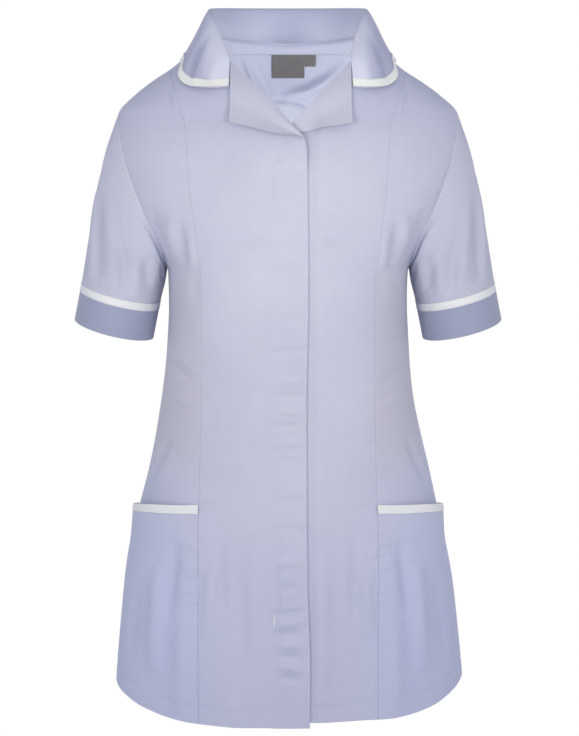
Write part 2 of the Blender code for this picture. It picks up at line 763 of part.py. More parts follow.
def neck_tape():
    """Strip over the neck seam: half on the back panel's inside, half on the stand's."""
    angles = [angle for angle in back_angles(SHOULDER_TOP) if angle >= TAPE_ANGLE]
    grid = []
    for angle in angles:
        seam = body_point(angle, neck_height(angle))
        low = body_point(angle, neck_height(angle) - TAPE_HALF)
        profile = collar_profile(angle)
        rise = unit(profile[1] - profile[0])
        along = body_point(angle + 1, neck_height(angle + 1)) - seam
        into_neck = unit(np.cross(rise, along))
        into_neck = into_neck * math.copysign(1, -into_neck @ (seam * np.array((1, 1, 0))))
        reach = TAPE_CLEAR + TAPE_WALL / 2
        middle = seam + corner(-outward(seam), CLOTH + reach, into_neck, DOUBLE_CLOTH + reach)
        grid.append([middle + rise * TAPE_HALF, middle, low - outward(low) * (CLOTH + reach)])
    other = [[point * np.array((-1, 1, 1)) for point in line] for line in reversed(grid[:-1])]
    rows = [list(row) for row in zip(*grid, *other)]
    normals = grid_normals(rows)
    return wall("neck_tape", cloth_finish, shifted(rows, normals, TAPE_WALL / 2),
                shifted(rows, normals, -TAPE_WALL / 2))


def hanging_tab(name, left, width, drop, columns):
    """A small bare label hanging below the tape."""
    top = neck_height(180) - TAPE_HALF - GAP
    rows = [[inside_back(left + width * k / columns, top - drop * share)
             for k in range(columns + 1)] for share in (0.0, 0.5, 1.0)]
    normals = grid_normals(rows)
    return wall(name, label_finish, shifted(rows, normals, LABEL_WALL / 2),
                shifted(rows, normals, -LABEL_WALL / 2))


cloth_finish = material("cloth", CLOTH_COLOUR, 0.85)
cuff_finish = material("cuff_cloth", CUFF_COLOUR, 0.85)
trim_finish = material("white_trim", WHITE, 0.8)
label_finish = material("label", LABEL_GREY, 0.6)

back()
collar()
collar_trim()
neck_tape()
hanging_tab("label", -LABEL_SIZE[0] / 2, *LABEL_SIZE, columns=7)
hanging_tab("size_tab", LABEL_SIZE[0] / 2 + GAP, *TAB_SIZE, columns=2)
for hand in (-1, 1):
    front_centre(hand)
    front_side(hand)
    lapel(hand)
    sleeve(hand)
    cuff(hand)
    cuff_trim(hand)
    pocket(hand)
    pocket_trim(hand)
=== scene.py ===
import math
import re

import bpy
import numpy as np
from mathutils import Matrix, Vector


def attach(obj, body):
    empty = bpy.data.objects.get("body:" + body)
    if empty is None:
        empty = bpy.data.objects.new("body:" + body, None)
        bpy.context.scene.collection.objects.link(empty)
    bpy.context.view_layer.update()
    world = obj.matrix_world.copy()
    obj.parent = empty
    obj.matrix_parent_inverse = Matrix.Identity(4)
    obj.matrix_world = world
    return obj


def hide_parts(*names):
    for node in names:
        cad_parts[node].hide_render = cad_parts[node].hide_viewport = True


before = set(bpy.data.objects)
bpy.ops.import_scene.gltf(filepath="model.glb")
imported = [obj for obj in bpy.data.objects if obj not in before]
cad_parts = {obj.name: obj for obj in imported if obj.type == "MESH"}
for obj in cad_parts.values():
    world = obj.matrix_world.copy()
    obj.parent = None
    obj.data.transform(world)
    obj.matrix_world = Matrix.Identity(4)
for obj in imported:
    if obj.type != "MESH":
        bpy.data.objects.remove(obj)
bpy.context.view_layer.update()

# Work tunic, filled out as it is worn. Metres; the front faces -Y, the wearer's right is at -X.
# Every piece is a thin shell on the form of its solid, finer and with its creases.

cloth = {"wall": 0.0008, "doubleWall": 0.0014, "binding": 0.0007, "gap": 0.0003,
         "seam": 0.00001, "trimWidth": 0.010, "cell": 0.0038, "rowCell": 0.0025,
         "edgeSteps": (0.00012, 0.0016), "rimRound": 0.00005, "turnedEdge": 0.0015,
         "hemTurn": 0.0185}
levels = {"shoulderTop": 0.007, "gorge": -0.0215, "princessTop": -0.028,
          "shoulderPoint": -0.077, "underarm": -0.2535, "waist": -0.420,
          "mouth": -0.525, "hem": -0.770}
sideNames = {-1: "Right", 1: "Left"}


def say(words):
    print("tunic:", words)


# Camera, floor and light

studio = {"cameraPlace": (0.0017, -2.2, -0.1655), "cameraPitch": 5.4, "lens": 92.35, "sensor": 36.0,
          "floorHeight": -1.46, "floorReach": 2.1, "floorColour": (0.93, 0.93, 0.93),
          "floorRoughness": 0.9, "floorShine": 0.1,
          "spotCone": 19.0, "ambient": 0.745, "ambientAbove": 0.50, "ambientColour": (0.96, 0.98, 1.04)}
lamps = (                # name, kind, place, aimed at, size, watts, colour
    ("frontLampRight", "AREA", (-0.50, -0.95, -0.16), (0, -0.1, -0.20), 0.34, 3.3, "warm"),
    ("frontLampLeft", "AREA", (0.50, -0.95, -0.16), (0, -0.1, -0.20), 0.34, 3.3, "warm"),
    ("chestLamp", "SPOT", (0.0, -1.20, -0.19), (0.0, 0.0, -0.215), 0.12, 6.0, "warm"),
    ("neckLamp", "POINT", (0.028, -0.015, -0.150), (0, 0, 1), 0.035, 0.56, "pale"),
)
lampColours = {"warm": (1.0, 0.915, 0.715), "pale": (1.0, 0.965, 0.71)}


def addObject(name, data):
    made = bpy.data.objects.new(name, data)
    bpy.context.collection.objects.link(made)
    return made


def makeCamera():
    data = bpy.data.cameras.new("photoCamera")
    data.lens = studio["lens"]
    data.sensor_width = studio["sensor"]
    camera = addObject("photoCamera", data)
    camera.location = studio["cameraPlace"]
    camera.rotation_euler = (math.radians(90 - studio["cameraPitch"]), 0, 0)
    bpy.context.scene.camera = camera


def makeLamps():
    # Two in front, one on the chest, and one that keeps the inside of the neck light
    for name, kind, place, aim, size, watts, colour in lamps:
        data = bpy.data.lights.new(name, kind)
        data.energy = watts
        data.color = lampColours[colour]
        if kind == "AREA":
            data.size = size
        else:
            data.shadow_soft_size = size
        if kind == "SPOT":
            data.spot_size = math.radians(studio["spotCone"])
            data.spot_blend = 1.0
        lamp = addObject(name, data)
        lamp.location = place
        direction = Vector(aim) - Vector(place)
        lamp.rotation_euler = direction.to_track_quat("-Z", "Y").to_euler()


# Shader maths as plain expressions

class Link:
    # A socket that can be added, multiplied and so on, each step one Math node
    def __init__(self, tree, socket):
        self.tree, self.socket = tree, socket

    def math(self, operation, *items):
        nodes = Nodes(self.tree)
        made = nodes.node("ShaderNodeMath", {"operation": operation})
        for place, item in enumerate(items):
            nodes.give(made.inputs[place], item)
        return Link(self.tree, made.outputs[0])

    def __add__(self, other):
        return self.math("ADD", self, other)

    def __radd__(self, other):
        return self.math("ADD", other, self)

    def __sub__(self, other):
        return self.math("SUBTRACT", self, other)

    def __rsub__(self, other):
        return self.math("SUBTRACT", other, self)

    def __mul__(self, other):
        return self.math("MULTIPLY", self, other)

    def __rmul__(self, other):
        return self.math("MULTIPLY", other, self)

    def __abs__(self):
        return self.math("ABSOLUTE", self)

    def sine(self):
        return self.math("SINE", self)


class Nodes:
    # A node tree and the means to add nodes to it
    def __init__(self, tree):
        self.tree = tree

    def give(self, socket, value):
        if isinstance(value, Link):
            value = value.socket
        if isinstance(value, bpy.types.NodeSocket):
            self.tree.links.new(value, socket)
        else:
            socket.default_value = value

    def node(self, kind, settings=None, **values):
        made = self.tree.nodes.new(kind)
        for key, value in (settings or {}).items():
            setattr(made, key, value)
        for key, value in values.items():
            self.give(made.inputs[key.replace("_", " ")], value)
        return made


class Finish(Nodes):
    # One material and its shader
    def __init__(self, name, roughness, specular, sheen=0.0):
        self.material = bpy.data.materials.new(name)
        self.material.use_nodes = True
        super().__init__(self.material.node_tree)
        self.shader = self.tree.nodes["Principled BSDF"]
        for label, value in (("Roughness", roughness), ("Sheen Weight", sheen),
                             ("Specular IOR Level", specular)):
            self.shader.inputs[label].default_value = value

    def out(self, made, name):
        return Link(self.tree, made.outputs[name])

    def part(self, vector, letter):
        return self.out(self.node("ShaderNodeSeparateXYZ", Vector=vector), letter)

    def noise(self, settings=None, **values):
        return self.out(self.node("ShaderNodeTexNoise", settings, **values), "Fac")

    def mix(self, factor, first, second):
        made = self.node("ShaderNodeMix", {"data_type": "RGBA"})
        for place, value in ((0, factor), (6, first), (7, second)):
            self.give(made.inputs[place], value)
        return Link(self.tree, made.outputs[2])

    def rise(self, link, start, end):
        made = self.node("ShaderNodeMapRange", {"interpolation_type": "SMOOTHSTEP"}, Value=link,
                         From_Min=start, From_Max=end)
        return self.out(made, "Result")

    def feed(self, name, link):
        self.give(self.shader.inputs[name], link)


# Where the body cloth is painted bluer and darker as shade: low down at the sides and over the
# shoulders
paintedShadeRegion = {"low": (-0.40, -0.66), "wide": (0.06, 0.16), "share": 0.75, "middle": 0.40,
              "high": (-0.14, -0.05), "shoulders": 0.45}
# Where the side panels are painted darker and greyer as shade
flankPaintedShadeRegion = {"seam": (0.094, 0.106), "sleeve": (0.162, 0.152), "top": (-0.235, -0.300),
               "foot": (-0.500, -0.420)}
# Where the collar is painted lighter as light
paintedLightRegion = {"near": (0.006, 0.042), "far": (0.103, 0.084), "low": (0.044, 0.004),
               "atTop": 0.15, "roll": (-0.002, -0.009), "front": (0.045, 0.005)}
weave = {"pitch": 0.00055, "threadDepth": 0.00006, "slubDepth": 0.00010, "slubScale": 900.0,
         "slubDetail": 2.0}
clothLook = {"patchScale": 7.0, "patchDetail": 3.0, "patchRoughness": 0.55, "patches": 2.2,
             "fineScale": 63.0, "fineDetail": 2.0, "fine": 0.6, "roughnessDrift": 0.08,
             "specular": 0.60, "sheen": 0.10, "cuffSheen": 0.30}
finishTable = {          # material, colour, the shade it drifts to, roughness
    "body": ("tunicCloth", (0.545, 0.577, 0.760), (0.492, 0.522, 0.706), 0.58),
    # The collar's copy of the body cloth: painted darker and bluer as shade on the outer side of its
    # fall, painted lighter as light inside and at the front of its fall
    "collar": ("collarCloth", (0.500, 0.535, 0.770), (0.455, 0.490, 0.720), 0.58),
    # The lapels' copy of the body cloth, painted lighter as light
    "lapel": ("lapelCloth", (0.590, 0.622, 0.805), (0.545, 0.575, 0.760), 0.58),
    "cuff": ("cuffCloth", (0.322, 0.356, 0.548), (0.302, 0.336, 0.528), 0.75),
    "trim": ("trimTape", (0.79, 0.83, 0.91), (0.76, 0.80, 0.88), 0.70),
    # The collar's binding, a copy of the trim painted lighter as light
    "collarTrim": ("collarTrimTape", (0.92, 0.96, 1.00), (0.90, 0.94, 0.98), 0.70),
    "label": ("labelSatin", (0.136, 0.130, 0.150), (0.127, 0.121, 0.140), 0.50),
    "thread": ("sewingThread", (0.57, 0.60, 0.78), (0.55, 0.58, 0.76), 0.50),
    "trimThread": ("trimThread", (0.80, 0.81, 0.84), (0.78, 0.79, 0.82), 0.50),
    "cuffThread": ("cuffThread", (0.38, 0.41, 0.60), (0.36, 0.39, 0.58), 0.50),
}
paintedTones = {              # painted shade and painted light: the colours that a finish turns to; their places are worked out below
    "paintedShade": (0.498, 0.540, 0.805), "paintedFlankShade": (0.512, 0.528, 0.670), "light": (0.735, 0.780, 0.995),
}


def weaveBump(finish):
    # A plain weave on the piece's own UV map, whose units are metres
    uv = finish.out(finish.node("ShaderNodeUVMap", {"uv_map": "clothUv"}), "UV")
    turns = 2 * math.pi / weave["pitch"]
    across = (finish.part(uv, "X") * turns).sine()
    along = (finish.part(uv, "Y") * turns).sine()
    slub = finish.noise({"noise_dimensions": "2D"}, Vector=uv, Scale=weave["slubScale"],
                        Detail=weave["slubDetail"])
    height = across * along * weave["threadDepth"] + slub * weave["slubDepth"]
    bump = finish.node("ShaderNodeBump", Height=height, Strength=1.0, Distance=1.0)
    finish.feed("Normal", finish.out(bump, "Normal"))


def paintedShadePlaces(finish, place):
    # Painted shade: a bluer, darker colour low down, mostly at the sides, and over the shoulders, where
    # the cloth lies in shade
    height, aside = finish.part(place, "Z"), abs(finish.part(place, "X"))
    low = finish.rise(height, *paintedShadeRegion["low"])
    wide = finish.rise(aside, *paintedShadeRegion["wide"])
    high = finish.rise(height, *paintedShadeRegion["high"])
    return low * (wide * paintedShadeRegion["share"] + paintedShadeRegion["middle"]) + high * paintedShadeRegion["shoulders"]


def flankPaintedShadePlaces(finish, place):
    # Painted shade: the side panels from the bust to the hips turn darker and greyer, as they face away
    # from the light
    height, aside = finish.part(place, "Z"), abs(finish.part(place, "X"))
    wide = finish.rise(aside, *flankPaintedShadeRegion["seam"]) * finish.rise(aside, *flankPaintedShadeRegion["sleeve"])
    return wide * finish.rise(height, *flankPaintedShadeRegion["top"]) * finish.rise(height, *flankPaintedShadeRegion["foot"])


def paintedLightPlaces(finish, place):
    # Painted light: lighter inside the collar away from its middle, and on the front of its fall; less
    # so at the top
    uv = finish.out(finish.node("ShaderNodeUVMap", {"uv_map": "clothUv"}), "UV")
    inside = finish.rise(finish.part(uv, "X"), *paintedLightRegion["roll"])
    front = finish.rise(finish.part(place, "Y"), *paintedLightRegion["front"])
    aside = abs(finish.part(place, "X"))
    near, far = finish.rise(aside, *paintedLightRegion["near"]), finish.rise(aside, *paintedLightRegion["far"])
    low = finish.rise(finish.part(place, "Z"), *paintedLightRegion["low"])
    amount = low * (1 - paintedLightRegion["atTop"]) + paintedLightRegion["atTop"]
    return (inside * near + (1 - inside) * front * far) * amount


def clothFinish(name, colour, shade, roughness, turns=(), sheen=clothLook["sheen"]):
    # Cloth whose colour drifts a little, and turns at their places to the painted shade and painted
    # light colours it is given
    finish = Finish(name, roughness, clothLook["specular"], sheen)
    place = finish.out(finish.node("ShaderNodeTexCoord"), "Object")
    patches = finish.noise(Vector=place, Scale=clothLook["patchScale"],
                           Detail=clothLook["patchDetail"], Roughness=clothLook["patchRoughness"])
    fine = finish.noise(Vector=place, Scale=clothLook["fineScale"], Detail=clothLook["fineDetail"])
    share = (patches - 0.5) * clothLook["patches"] + (fine - 0.5) * clothLook["fine"] + 0.5
    tint = finish.mix(share, (*colour, 1), (*shade, 1))
    for paintedTone, places in turns:
        tint = finish.mix(places(finish, place), tint, (*paintedTones[paintedTone], 1))
    finish.feed("Base Color", tint)
    finish.feed("Roughness", (fine - 0.5) * clothLook["roughnessDrift"] + roughness)
    weaveBump(finish)
    return finish.material


def makeFinishes():
    extras = {"body": {"turns": (("paintedShade", paintedShadePlaces), ("paintedFlankShade", flankPaintedShadePlaces))},
              "collar": {"turns": (("light", paintedLightPlaces),)},
              "cuff": {"sheen": clothLook["cuffSheen"]}}
    made = {key: clothFinish(*row, **extras.get(key, {})) for key, row in finishTable.items()}
    floor = Finish("floorPaper", studio["floorRoughness"], studio["floorShine"])
    floor.shader.inputs["Base Color"].default_value = (*studio["floorColour"], 1)
    made["floor"] = floor.material
    return made


def makeFloor(finish):
    reach, height = studio["floorReach"], studio["floorHeight"]
    data = bpy.data.meshes.new("floor")
    corners = [(-reach, -reach, height), (reach, -reach, height),
               (reach, reach, height), (-reach, reach, height)]
    data.from_pydata(corners, [], [(0, 1, 2, 3)])
    data.materials.append(finish)
    addObject("floor", data)


def makeSky():
    # White paper behind the tunic; what lights the tunic from all round is dimmer
    world = bpy.data.worlds.new("studioSky")
    world.use_nodes = True
    sky = Nodes(world.node_tree)
    direction = sky.node("ShaderNodeTexCoord").outputs["Generated"]
    height = sky.node("ShaderNodeSeparateXYZ", Vector=direction).outputs["Z"]
    fade = sky.node("ShaderNodeMapRange", Value=height, From_Min=0.0, From_Max=1.0,
                    To_Min=studio["ambient"], To_Max=studio["ambient"] * studio["ambientAbove"])
    around = sky.node("ShaderNodeBackground", Color=(*studio["ambientColour"], 1),
                      Strength=fade.outputs["Result"])
    paper = sky.node("ShaderNodeBackground", Color=(1, 1, 1, 1))
    seen = sky.node("ShaderNodeLightPath").outputs["Is Camera Ray"]
    choice = sky.node("ShaderNodeMixShader")
    for place, value in enumerate((seen, around.outputs[0], paper.outputs[0])):
        sky.give(choice.inputs[place], value)
    sky.give(sky.tree.nodes["World Output"].inputs["Surface"], choice.outputs[0])
    bpy.context.scene.world = world
    bpy.context.scene.view_settings.view_transform = "Standard"


# The body's form, given by level sections

def cubic(t, start, leave, end, arrive, step=1):
    # From start to end over a step, leaving and arriving at the given rates
    first = (2 * t**3 - 3 * t**2 + 1) * start + (t**3 - 2 * t**2 + t) * step * leave
    return first + ((3 * t**2 - 2 * t**3) * end + (t**3 - t**2) * step * arrive)


class Curves:
    # Rows of named columns, read at any key by curves that never overshoot the rows
    def __init__(self, names, *rows):
        data = np.array(sorted(rows), dtype=float)
        self.keys = data[:, 0]
        self.columns = dict(zip(names.split()[1:], data[:, 1:].T))
        self.slopes = {name: self.steady(values) for name, values in self.columns.items()}

    def steady(self, values):
        steps = np.diff(self.keys)
        rates = np.diff(values) / steps
        slopes = np.zeros(len(values))
        slopes[0], slopes[-1] = rates[0], rates[-1]
        for i in range(1, len(values) - 1):
            if rates[i - 1] * rates[i] > 0:
                before = 2 * steps[i] + steps[i - 1]
                after = steps[i] + 2 * steps[i - 1]
                slopes[i] = (before + after) / (before / rates[i - 1] + after / rates[i])
        return slopes

    def at(self, name, key):
        key = np.clip(key, self.keys[0], self.keys[-1])
        i = np.clip(np.searchsorted(self.keys, key) - 1, 0, len(self.keys) - 2)
        step = self.keys[i + 1] - self.keys[i]
        t = (key - self.keys[i]) / step
        values, slopes = self.columns[name], self.slopes[name]
        return cubic(t, values[i], slopes[i], values[i + 1], slopes[i + 1], step)


body = Curves(
    "height halfWidth front back squareness",
    (0.020, 0.0550, 0.035, 0.0620, 2.00),
    (0.007, 0.0790, 0.045, 0.0660, 2.00),
    (-0.003, 0.0978, 0.052, 0.0690, 2.00),
    (-0.015, 0.1174, 0.058, 0.0730, 2.00),
    (-0.028, 0.1340, 0.065, 0.0780, 2.00),
    (-0.042, 0.1556, 0.071, 0.0820, 2.00),
    (-0.056, 0.1743, 0.077, 0.0860, 2.05),
    (-0.077, 0.1953, 0.084, 0.0925, 2.10),
    (-0.107, 0.2040, 0.096, 0.1000, 2.15),
    (-0.130, 0.2030, 0.1035, 0.1040, 2.20),
    (-0.164, 0.1930, 0.1115, 0.1070, 2.25),
    (-0.190, 0.1800, 0.1160, 0.1070, 2.30),
    (-0.230, 0.1530, 0.1210, 0.1030, 2.35),
    (-0.260, 0.1395, 0.1225, 0.0980, 2.40),
    (-0.300, 0.1383, 0.1200, 0.0900, 2.35),
    (-0.350, 0.1408, 0.1120, 0.0800, 2.30),
    (-0.400, 0.1462, 0.1050, 0.0760, 2.25),
    (-0.450, 0.1552, 0.104, 0.0800, 2.20),
    (-0.492, 0.1647, 0.107, 0.0880, 2.20),
    (-0.550, 0.1785, 0.111, 0.0970, 2.20),
    (-0.620, 0.1918, 0.115, 0.1070, 2.20),
    (-0.700, 0.2000, 0.118, 0.1120, 2.20),
    (-0.790, 0.2070, 0.120, 0.1160, 2.20),
)
rollPoints = (           # height and distance, where the lapels turn back from the front edge
    (-0.0215, 0.0683), (-0.0413, 0.0483), (-0.0584, 0.0319), (-0.0697, 0.0212),
    (-0.0932, 0.0000), (-0.1108, -0.0170),
)
rollLine = Curves("distance height", *(point[::-1] for point in rollPoints))
frontEdge = Curves(
    "height distance", *rollPoints,
    (-0.125, -0.0207), (-0.160, -0.0217), (-0.287, -0.0226), (-0.400, -0.0209),
    (-0.600, -0.0220), (-0.706, -0.0252), (-0.775, -0.0248),
)
lapelHem = Curves(
    "distance Right Left",
    (0.0683, -0.0948, -0.0955), (0.0450, -0.1000, -0.0990), (0.0175, -0.1078, -0.1015),
    (-0.0170, -0.1124, -0.1060),
)
princess = Curves(
    "height distance",
    (-0.028, 0.1368), (-0.032, 0.1348), (-0.050, 0.1298), (-0.079, 0.1203),
    (-0.094, 0.1150), (-0.123, 0.1122), (-0.164, 0.1097), (-0.199, 0.1052),
    (-0.232, 0.1021), (-0.266, 0.0972), (-0.320, 0.0969), (-0.386, 0.0977),
    (-0.466, 0.0994), (-0.554, 0.1016), (-0.775, 0.1014),
)
drape = Curves(            # heights of the pocket mouth's line and of the hem, round the body
    "angle mouth hem",
    (0, -0.5200, -0.7707), (25, -0.5200, -0.7703), (48, -0.5203, -0.7677),
    (56, -0.5220, -0.7643), (65, -0.5242, -0.7571), (75, -0.5280, -0.7440),
    (84, -0.5315, -0.7362), (90, -0.5330, -0.7345), (120, -0.5330, -0.7395),
    (180, -0.5330, -0.7470),
)


def smooth(value, start, end):
    t = np.clip((value - start) / (end - start), 0.0, 1.0)
    return t * t * (3 - 2 * t)


def between(value, rise, fall):
    # Rises over the first range and falls over the second
    return smooth(value, *rise) * (1 - smooth(value, *fall))


def unit(vectors):
    return vectors / np.linalg.norm(vectors, axis=-1, keepdims=True)


def lengthSoFar(points, axis=1):
    steps = np.linalg.norm(np.diff(points, axis=axis), axis=-1)
    return np.insert(np.cumsum(steps, axis=axis), 0, 0, axis=axis)


def readAlong(values, lengths, wanted):
    return np.stack([np.interp(wanted, lengths, values[:, k]) for k in range(3)], axis=-1)


def mirrored(side, *points):
    return [item * np.array((side, 1.0, 1.0)) for item in points]


def bodyPoint(angle, height):
    angle, height = np.broadcast_arrays(np.radians(angle), height)
    across, along = np.sin(angle), np.cos(angle)
    depth = np.where(along >= -1e-9, body.at("front", height), body.at("back", height))
    power = body.at("squareness", height)
    reach = (np.abs(across / body.at("halfWidth", height))**power
             + np.abs(along / depth)**power)**(-1 / power)
    return np.stack([reach * across, -reach * along, height], axis=-1)


def onBody(x, height, back=False):
    x, height = np.broadcast_arrays(np.asarray(x, dtype=float), np.asarray(height, dtype=float))
    power = body.at("squareness", height)
    depth = body.at("back" if back else "front", height)
    share = np.minimum(np.abs(x) / body.at("halfWidth", height), 1.0)
    y = depth * (1 - share**power)**(1 / power)
    return np.stack([x, y if back else -y, height], axis=-1)


def angleAtX(x, height):
    point = onBody(x, height)
    return np.degrees(np.arctan2(point[..., 0], -point[..., 1]))


def depthAt(y, height):
    return np.where(y > 0, body.at("back", height), body.at("front", height))


def angleAtY(y, height):
    power = body.at("squareness", height)
    share = np.abs(y) / depthAt(y, height)
    x = body.at("halfWidth", height) * (1 - share**power)**(1 / power)
    return np.degrees(np.arctan2(x, -y))


def fullness(points):
    # 1 on the body's form, more outside it
    x, y, height = np.moveaxis(points, -1, 0)
    power = body.at("squareness", height)
    wide, deep = body.at("halfWidth", height), depthAt(y, height)
    return np.abs(x / wide)**power + np.abs(y / deep)**power


def slope(points):
    # How fast the fullness grows in each direction
    step = 1e-4
    return np.stack([fullness(points + shift) - fullness(points - shift)
                     for shift in np.eye(3) * step], axis=-1) / (2 * step)


def outward(points):
    return unit(slope(points))


def keepOutside(points, clearance):
    rate = slope(points)
    distance = (fullness(points) - 1) / np.linalg.norm(rate, axis=-1)
    return points + unit(rate) * np.maximum(clearance - distance, 0.0)[..., None]


gorgeAngle = float(angleAtX(frontEdge.at("distance", levels["gorge"]), levels["gorge"]))


def neckHeight(angle):
    angle = np.asarray(angle, dtype=float)
    drop = (levels["shoulderTop"] - levels["gorge"]) * ((90 - angle) / (90 - gorgeAngle))**2
    return np.where(angle >= 90, levels["shoulderTop"] * np.sin(np.radians(angle)),
                    levels["shoulderTop"] - drop)


def neckAngle(height):
    drop = (levels["shoulderTop"] - height) / (levels["shoulderTop"] - levels["gorge"])
    return 90 - (90 - gorgeAngle) * np.sqrt(np.clip(drop, 0, None))


def hung(level, angle):
    # Levels follow the nape, the pocket mouth and the hem round the body
    level, angle = np.broadcast_arrays(level, np.abs(angle))
    top = np.where(angle > 90, neckHeight(angle), levels["shoulderTop"])
    anchors = [(levels["hem"], drape.at("hem", angle)), (levels["mouth"], drape.at("mouth", angle)),
               (levels["waist"], levels["waist"]), (levels["princessTop"], levels["princessTop"]),
               (levels["shoulderTop"], top)]
    height = np.array(level, dtype=float)
    for (low, lowHeight), (high, highHeight) in zip(anchors, anchors[1:]):
        share = (level - low) / (high - low)
        inside = (level >= low) & (level <= high)
        height = np.where(inside, lowHeight + (highHeight - lowHeight) * share, height)
    return height


armholeShape = {"front": 0.056, "back": 0.052, "roundness": 0.8, "droop": 0.22,
                "still": (0.0004, 0.0060)}
armholeMiddle = (levels["shoulderPoint"] + levels["underarm"]) / 2
armholeHalf = (levels["shoulderPoint"] - levels["underarm"]) / 2


def armhole(turn):
    across, up = np.sin(np.radians(turn)), np.cos(np.radians(turn))
    reach = np.where(across > 0, armholeShape["front"], armholeShape["back"])
    arc = np.sign(across) * np.abs(across)**armholeShape["roundness"]
    return -arc * reach * (1 - armholeShape["droop"] * up), armholeMiddle + armholeHalf * up


def innerAngle(level):
    return np.where(level > levels["gorge"], neckAngle(level),
                    angleAtX(frontEdge.at("distance", level), level))


princessStart, princessRounds = 48.0, 6


def princessAngle(level):
    # The seam's height depends on its angle, so the angle settles in a few rounds
    angle = np.full(np.shape(level), princessStart)
    for _ in range(princessRounds):
        height = hung(level, angle)
        angle = angleAtX(princess.at("distance", height), height)
    return np.minimum(angle, 89.0)


def sideAngle(level, back):
    inside = (level < levels["shoulderPoint"]) & (level > levels["underarm"])
    up = np.clip((level - armholeMiddle) / armholeHalf, -1, 1)
    turn = np.degrees(np.arccos(up)) * (-1 if back else 1)
    return np.where(inside, angleAtY(armhole(turn)[0], level), 90.0)


def seamStep(level):
    return np.degrees(cloth["seam"] / 2 / body.at("halfWidth", level))


neckSway = {"shift": 0.0032, "top": (0.010, -0.030), "foot": (-0.095, -0.125),
            "aside": (0.075, 0.115), "forwards": (0.020, -0.030)}


def sway(points):
    # The neck opening sits a little towards the wearer's left
    x, y, height = np.moveaxis(points, -1, 0)
    high = between(height, neckSway["top"], neckSway["foot"])
    near = 1 - smooth(np.abs(x), *neckSway["aside"])
    shift = neckSway["shift"] * high * near * smooth(y, *neckSway["forwards"])
    return points + shift[..., None] * np.array((1.0, 0, 0))


# Grids of points turned into cloth

def spread(length):
    # Shares from 0 to 1 about a cell apart, closer at both ends so that edges turn softly
    count = max(int(round(length / cloth["cell"])), 4)
    shares = np.linspace(0, 1, count + 1)
    near = np.array(cloth["edgeSteps"]) / length
    return np.concatenate([[0], near, shares[1:-1], 1 - near[::-1], [1]])


def clothMesh(name, outer, inner, finish, ring):
    # A closed wall between two grids, its rims rounded by a loop half way through
    rows, columns = outer.shape[:2]
    middle = (outer + inner) / 2
    skins = [outer.copy(), inner.copy()]
    for skin in skins:
        pulls = [((0, slice(None)), (1, slice(None))), ((-1, slice(None)), (-2, slice(None)))]
        if not ring:
            pulls += [((slice(None), 0), (slice(None), 1)), ((slice(None), -1), (slice(None), -2))]
        for here, there in pulls:
            skin[here] = skin[here] + unit(skin[there] - skin[here]) * cloth["rimRound"]
    index = np.arange(rows * columns).reshape(rows, columns)
    wrapped = np.concatenate([index, index[:, :1]], axis=1) if ring else index
    a, b = wrapped[:-1, :-1].ravel(), wrapped[1:, :-1].ravel()
    c, d = wrapped[1:, 1:].ravel(), wrapped[:-1, 1:].ravel()
    shift = rows * columns
    faces = [np.stack([a, b, c, d], 1), np.stack([d, c, b, a], 1) + shift]
    if ring:
        loops = [index[0], index[-1, ::-1]]
    else:
        loops = [np.concatenate([index[0], index[1:, -1], index[-1, -2::-1], index[-2:0:-1, 0]])]
    flat, girth, length = flatPlaces(middle, ring)
    points = [skins[0].reshape(-1, 3), skins[1].reshape(-1, 3)]
    places, start = [flat, flat], 2 * shift
    for loop in loops:
        points.append(middle.reshape(-1, 3)[loop])
        places.append(flat[loop])
        rim = np.arange(start, start + len(loop))
        following, rimNext = np.roll(loop, -1), np.roll(rim, -1)
        faces.append(np.stack([loop, following, rimNext, rim], 1)[:, ::-1])
        faces.append(np.stack([rim, rimNext, following + shift, loop + shift], 1)[:, ::-1])
        start += len(loop)
    faces = np.concatenate(faces)
    data = bpy.data.meshes.new(name)
    data.from_pydata(np.concatenate(points).tolist(), [], faces.tolist())
    data.materials.append(finish)
    corners = np.concatenate(places)[faces]
    if ring:                     # faces across the seam keep their scale
        across = corners[..., 0]
        split = (across.max(1) - across.min(1)) > girth / 2
        corners[..., 0] = np.where(split[:, None] & (across < 0), across + girth, across)
    uv = data.uv_layers.new(name="clothUv")
    uv.data.foreach_set("uv", corners.ravel().astype(np.float32))
    turnOutwards(data)
    data.shade_smooth()
    return addObject(name, data), float(girth), float(length)


def flatPlaces(middle, ring):
    # Where each point lies on the flat cloth, in metres, and the cloth's widest and longest
    closed = np.concatenate([middle, middle[:, :1]], axis=1) if ring else middle
    across, along = lengthSoFar(closed), lengthSoFar(middle, 0)
    rounds = across[:, -1]
    girth = rounds.max()
    across = across[:, :middle.shape[1]] - across[:, [middle.shape[1] // 2]]
    if ring:
        across = across * (girth / rounds)[:, None]
    return np.stack([across.ravel(), -along.ravel()], 1), girth, along[-1].max()


def turnOutwards(data):
    # A closed mesh whose volume comes out negative is inside out
    points = np.zeros(len(data.vertices) * 3)
    data.vertices.foreach_get("co", points)
    data.calc_loop_triangles()
    triangles = np.zeros(len(data.loop_triangles) * 3, dtype=np.int32)
    data.loop_triangles.foreach_get("vertices", triangles)
    a, b, c = (points.reshape(-1, 3)[triangles.reshape(-1, 3)[:, k]] for k in range(3))
    if (a * np.cross(b, c)).sum() < 0:
        data.flip_normals()


grids = {}               # outer points of each piece and their directions out, for its sewing


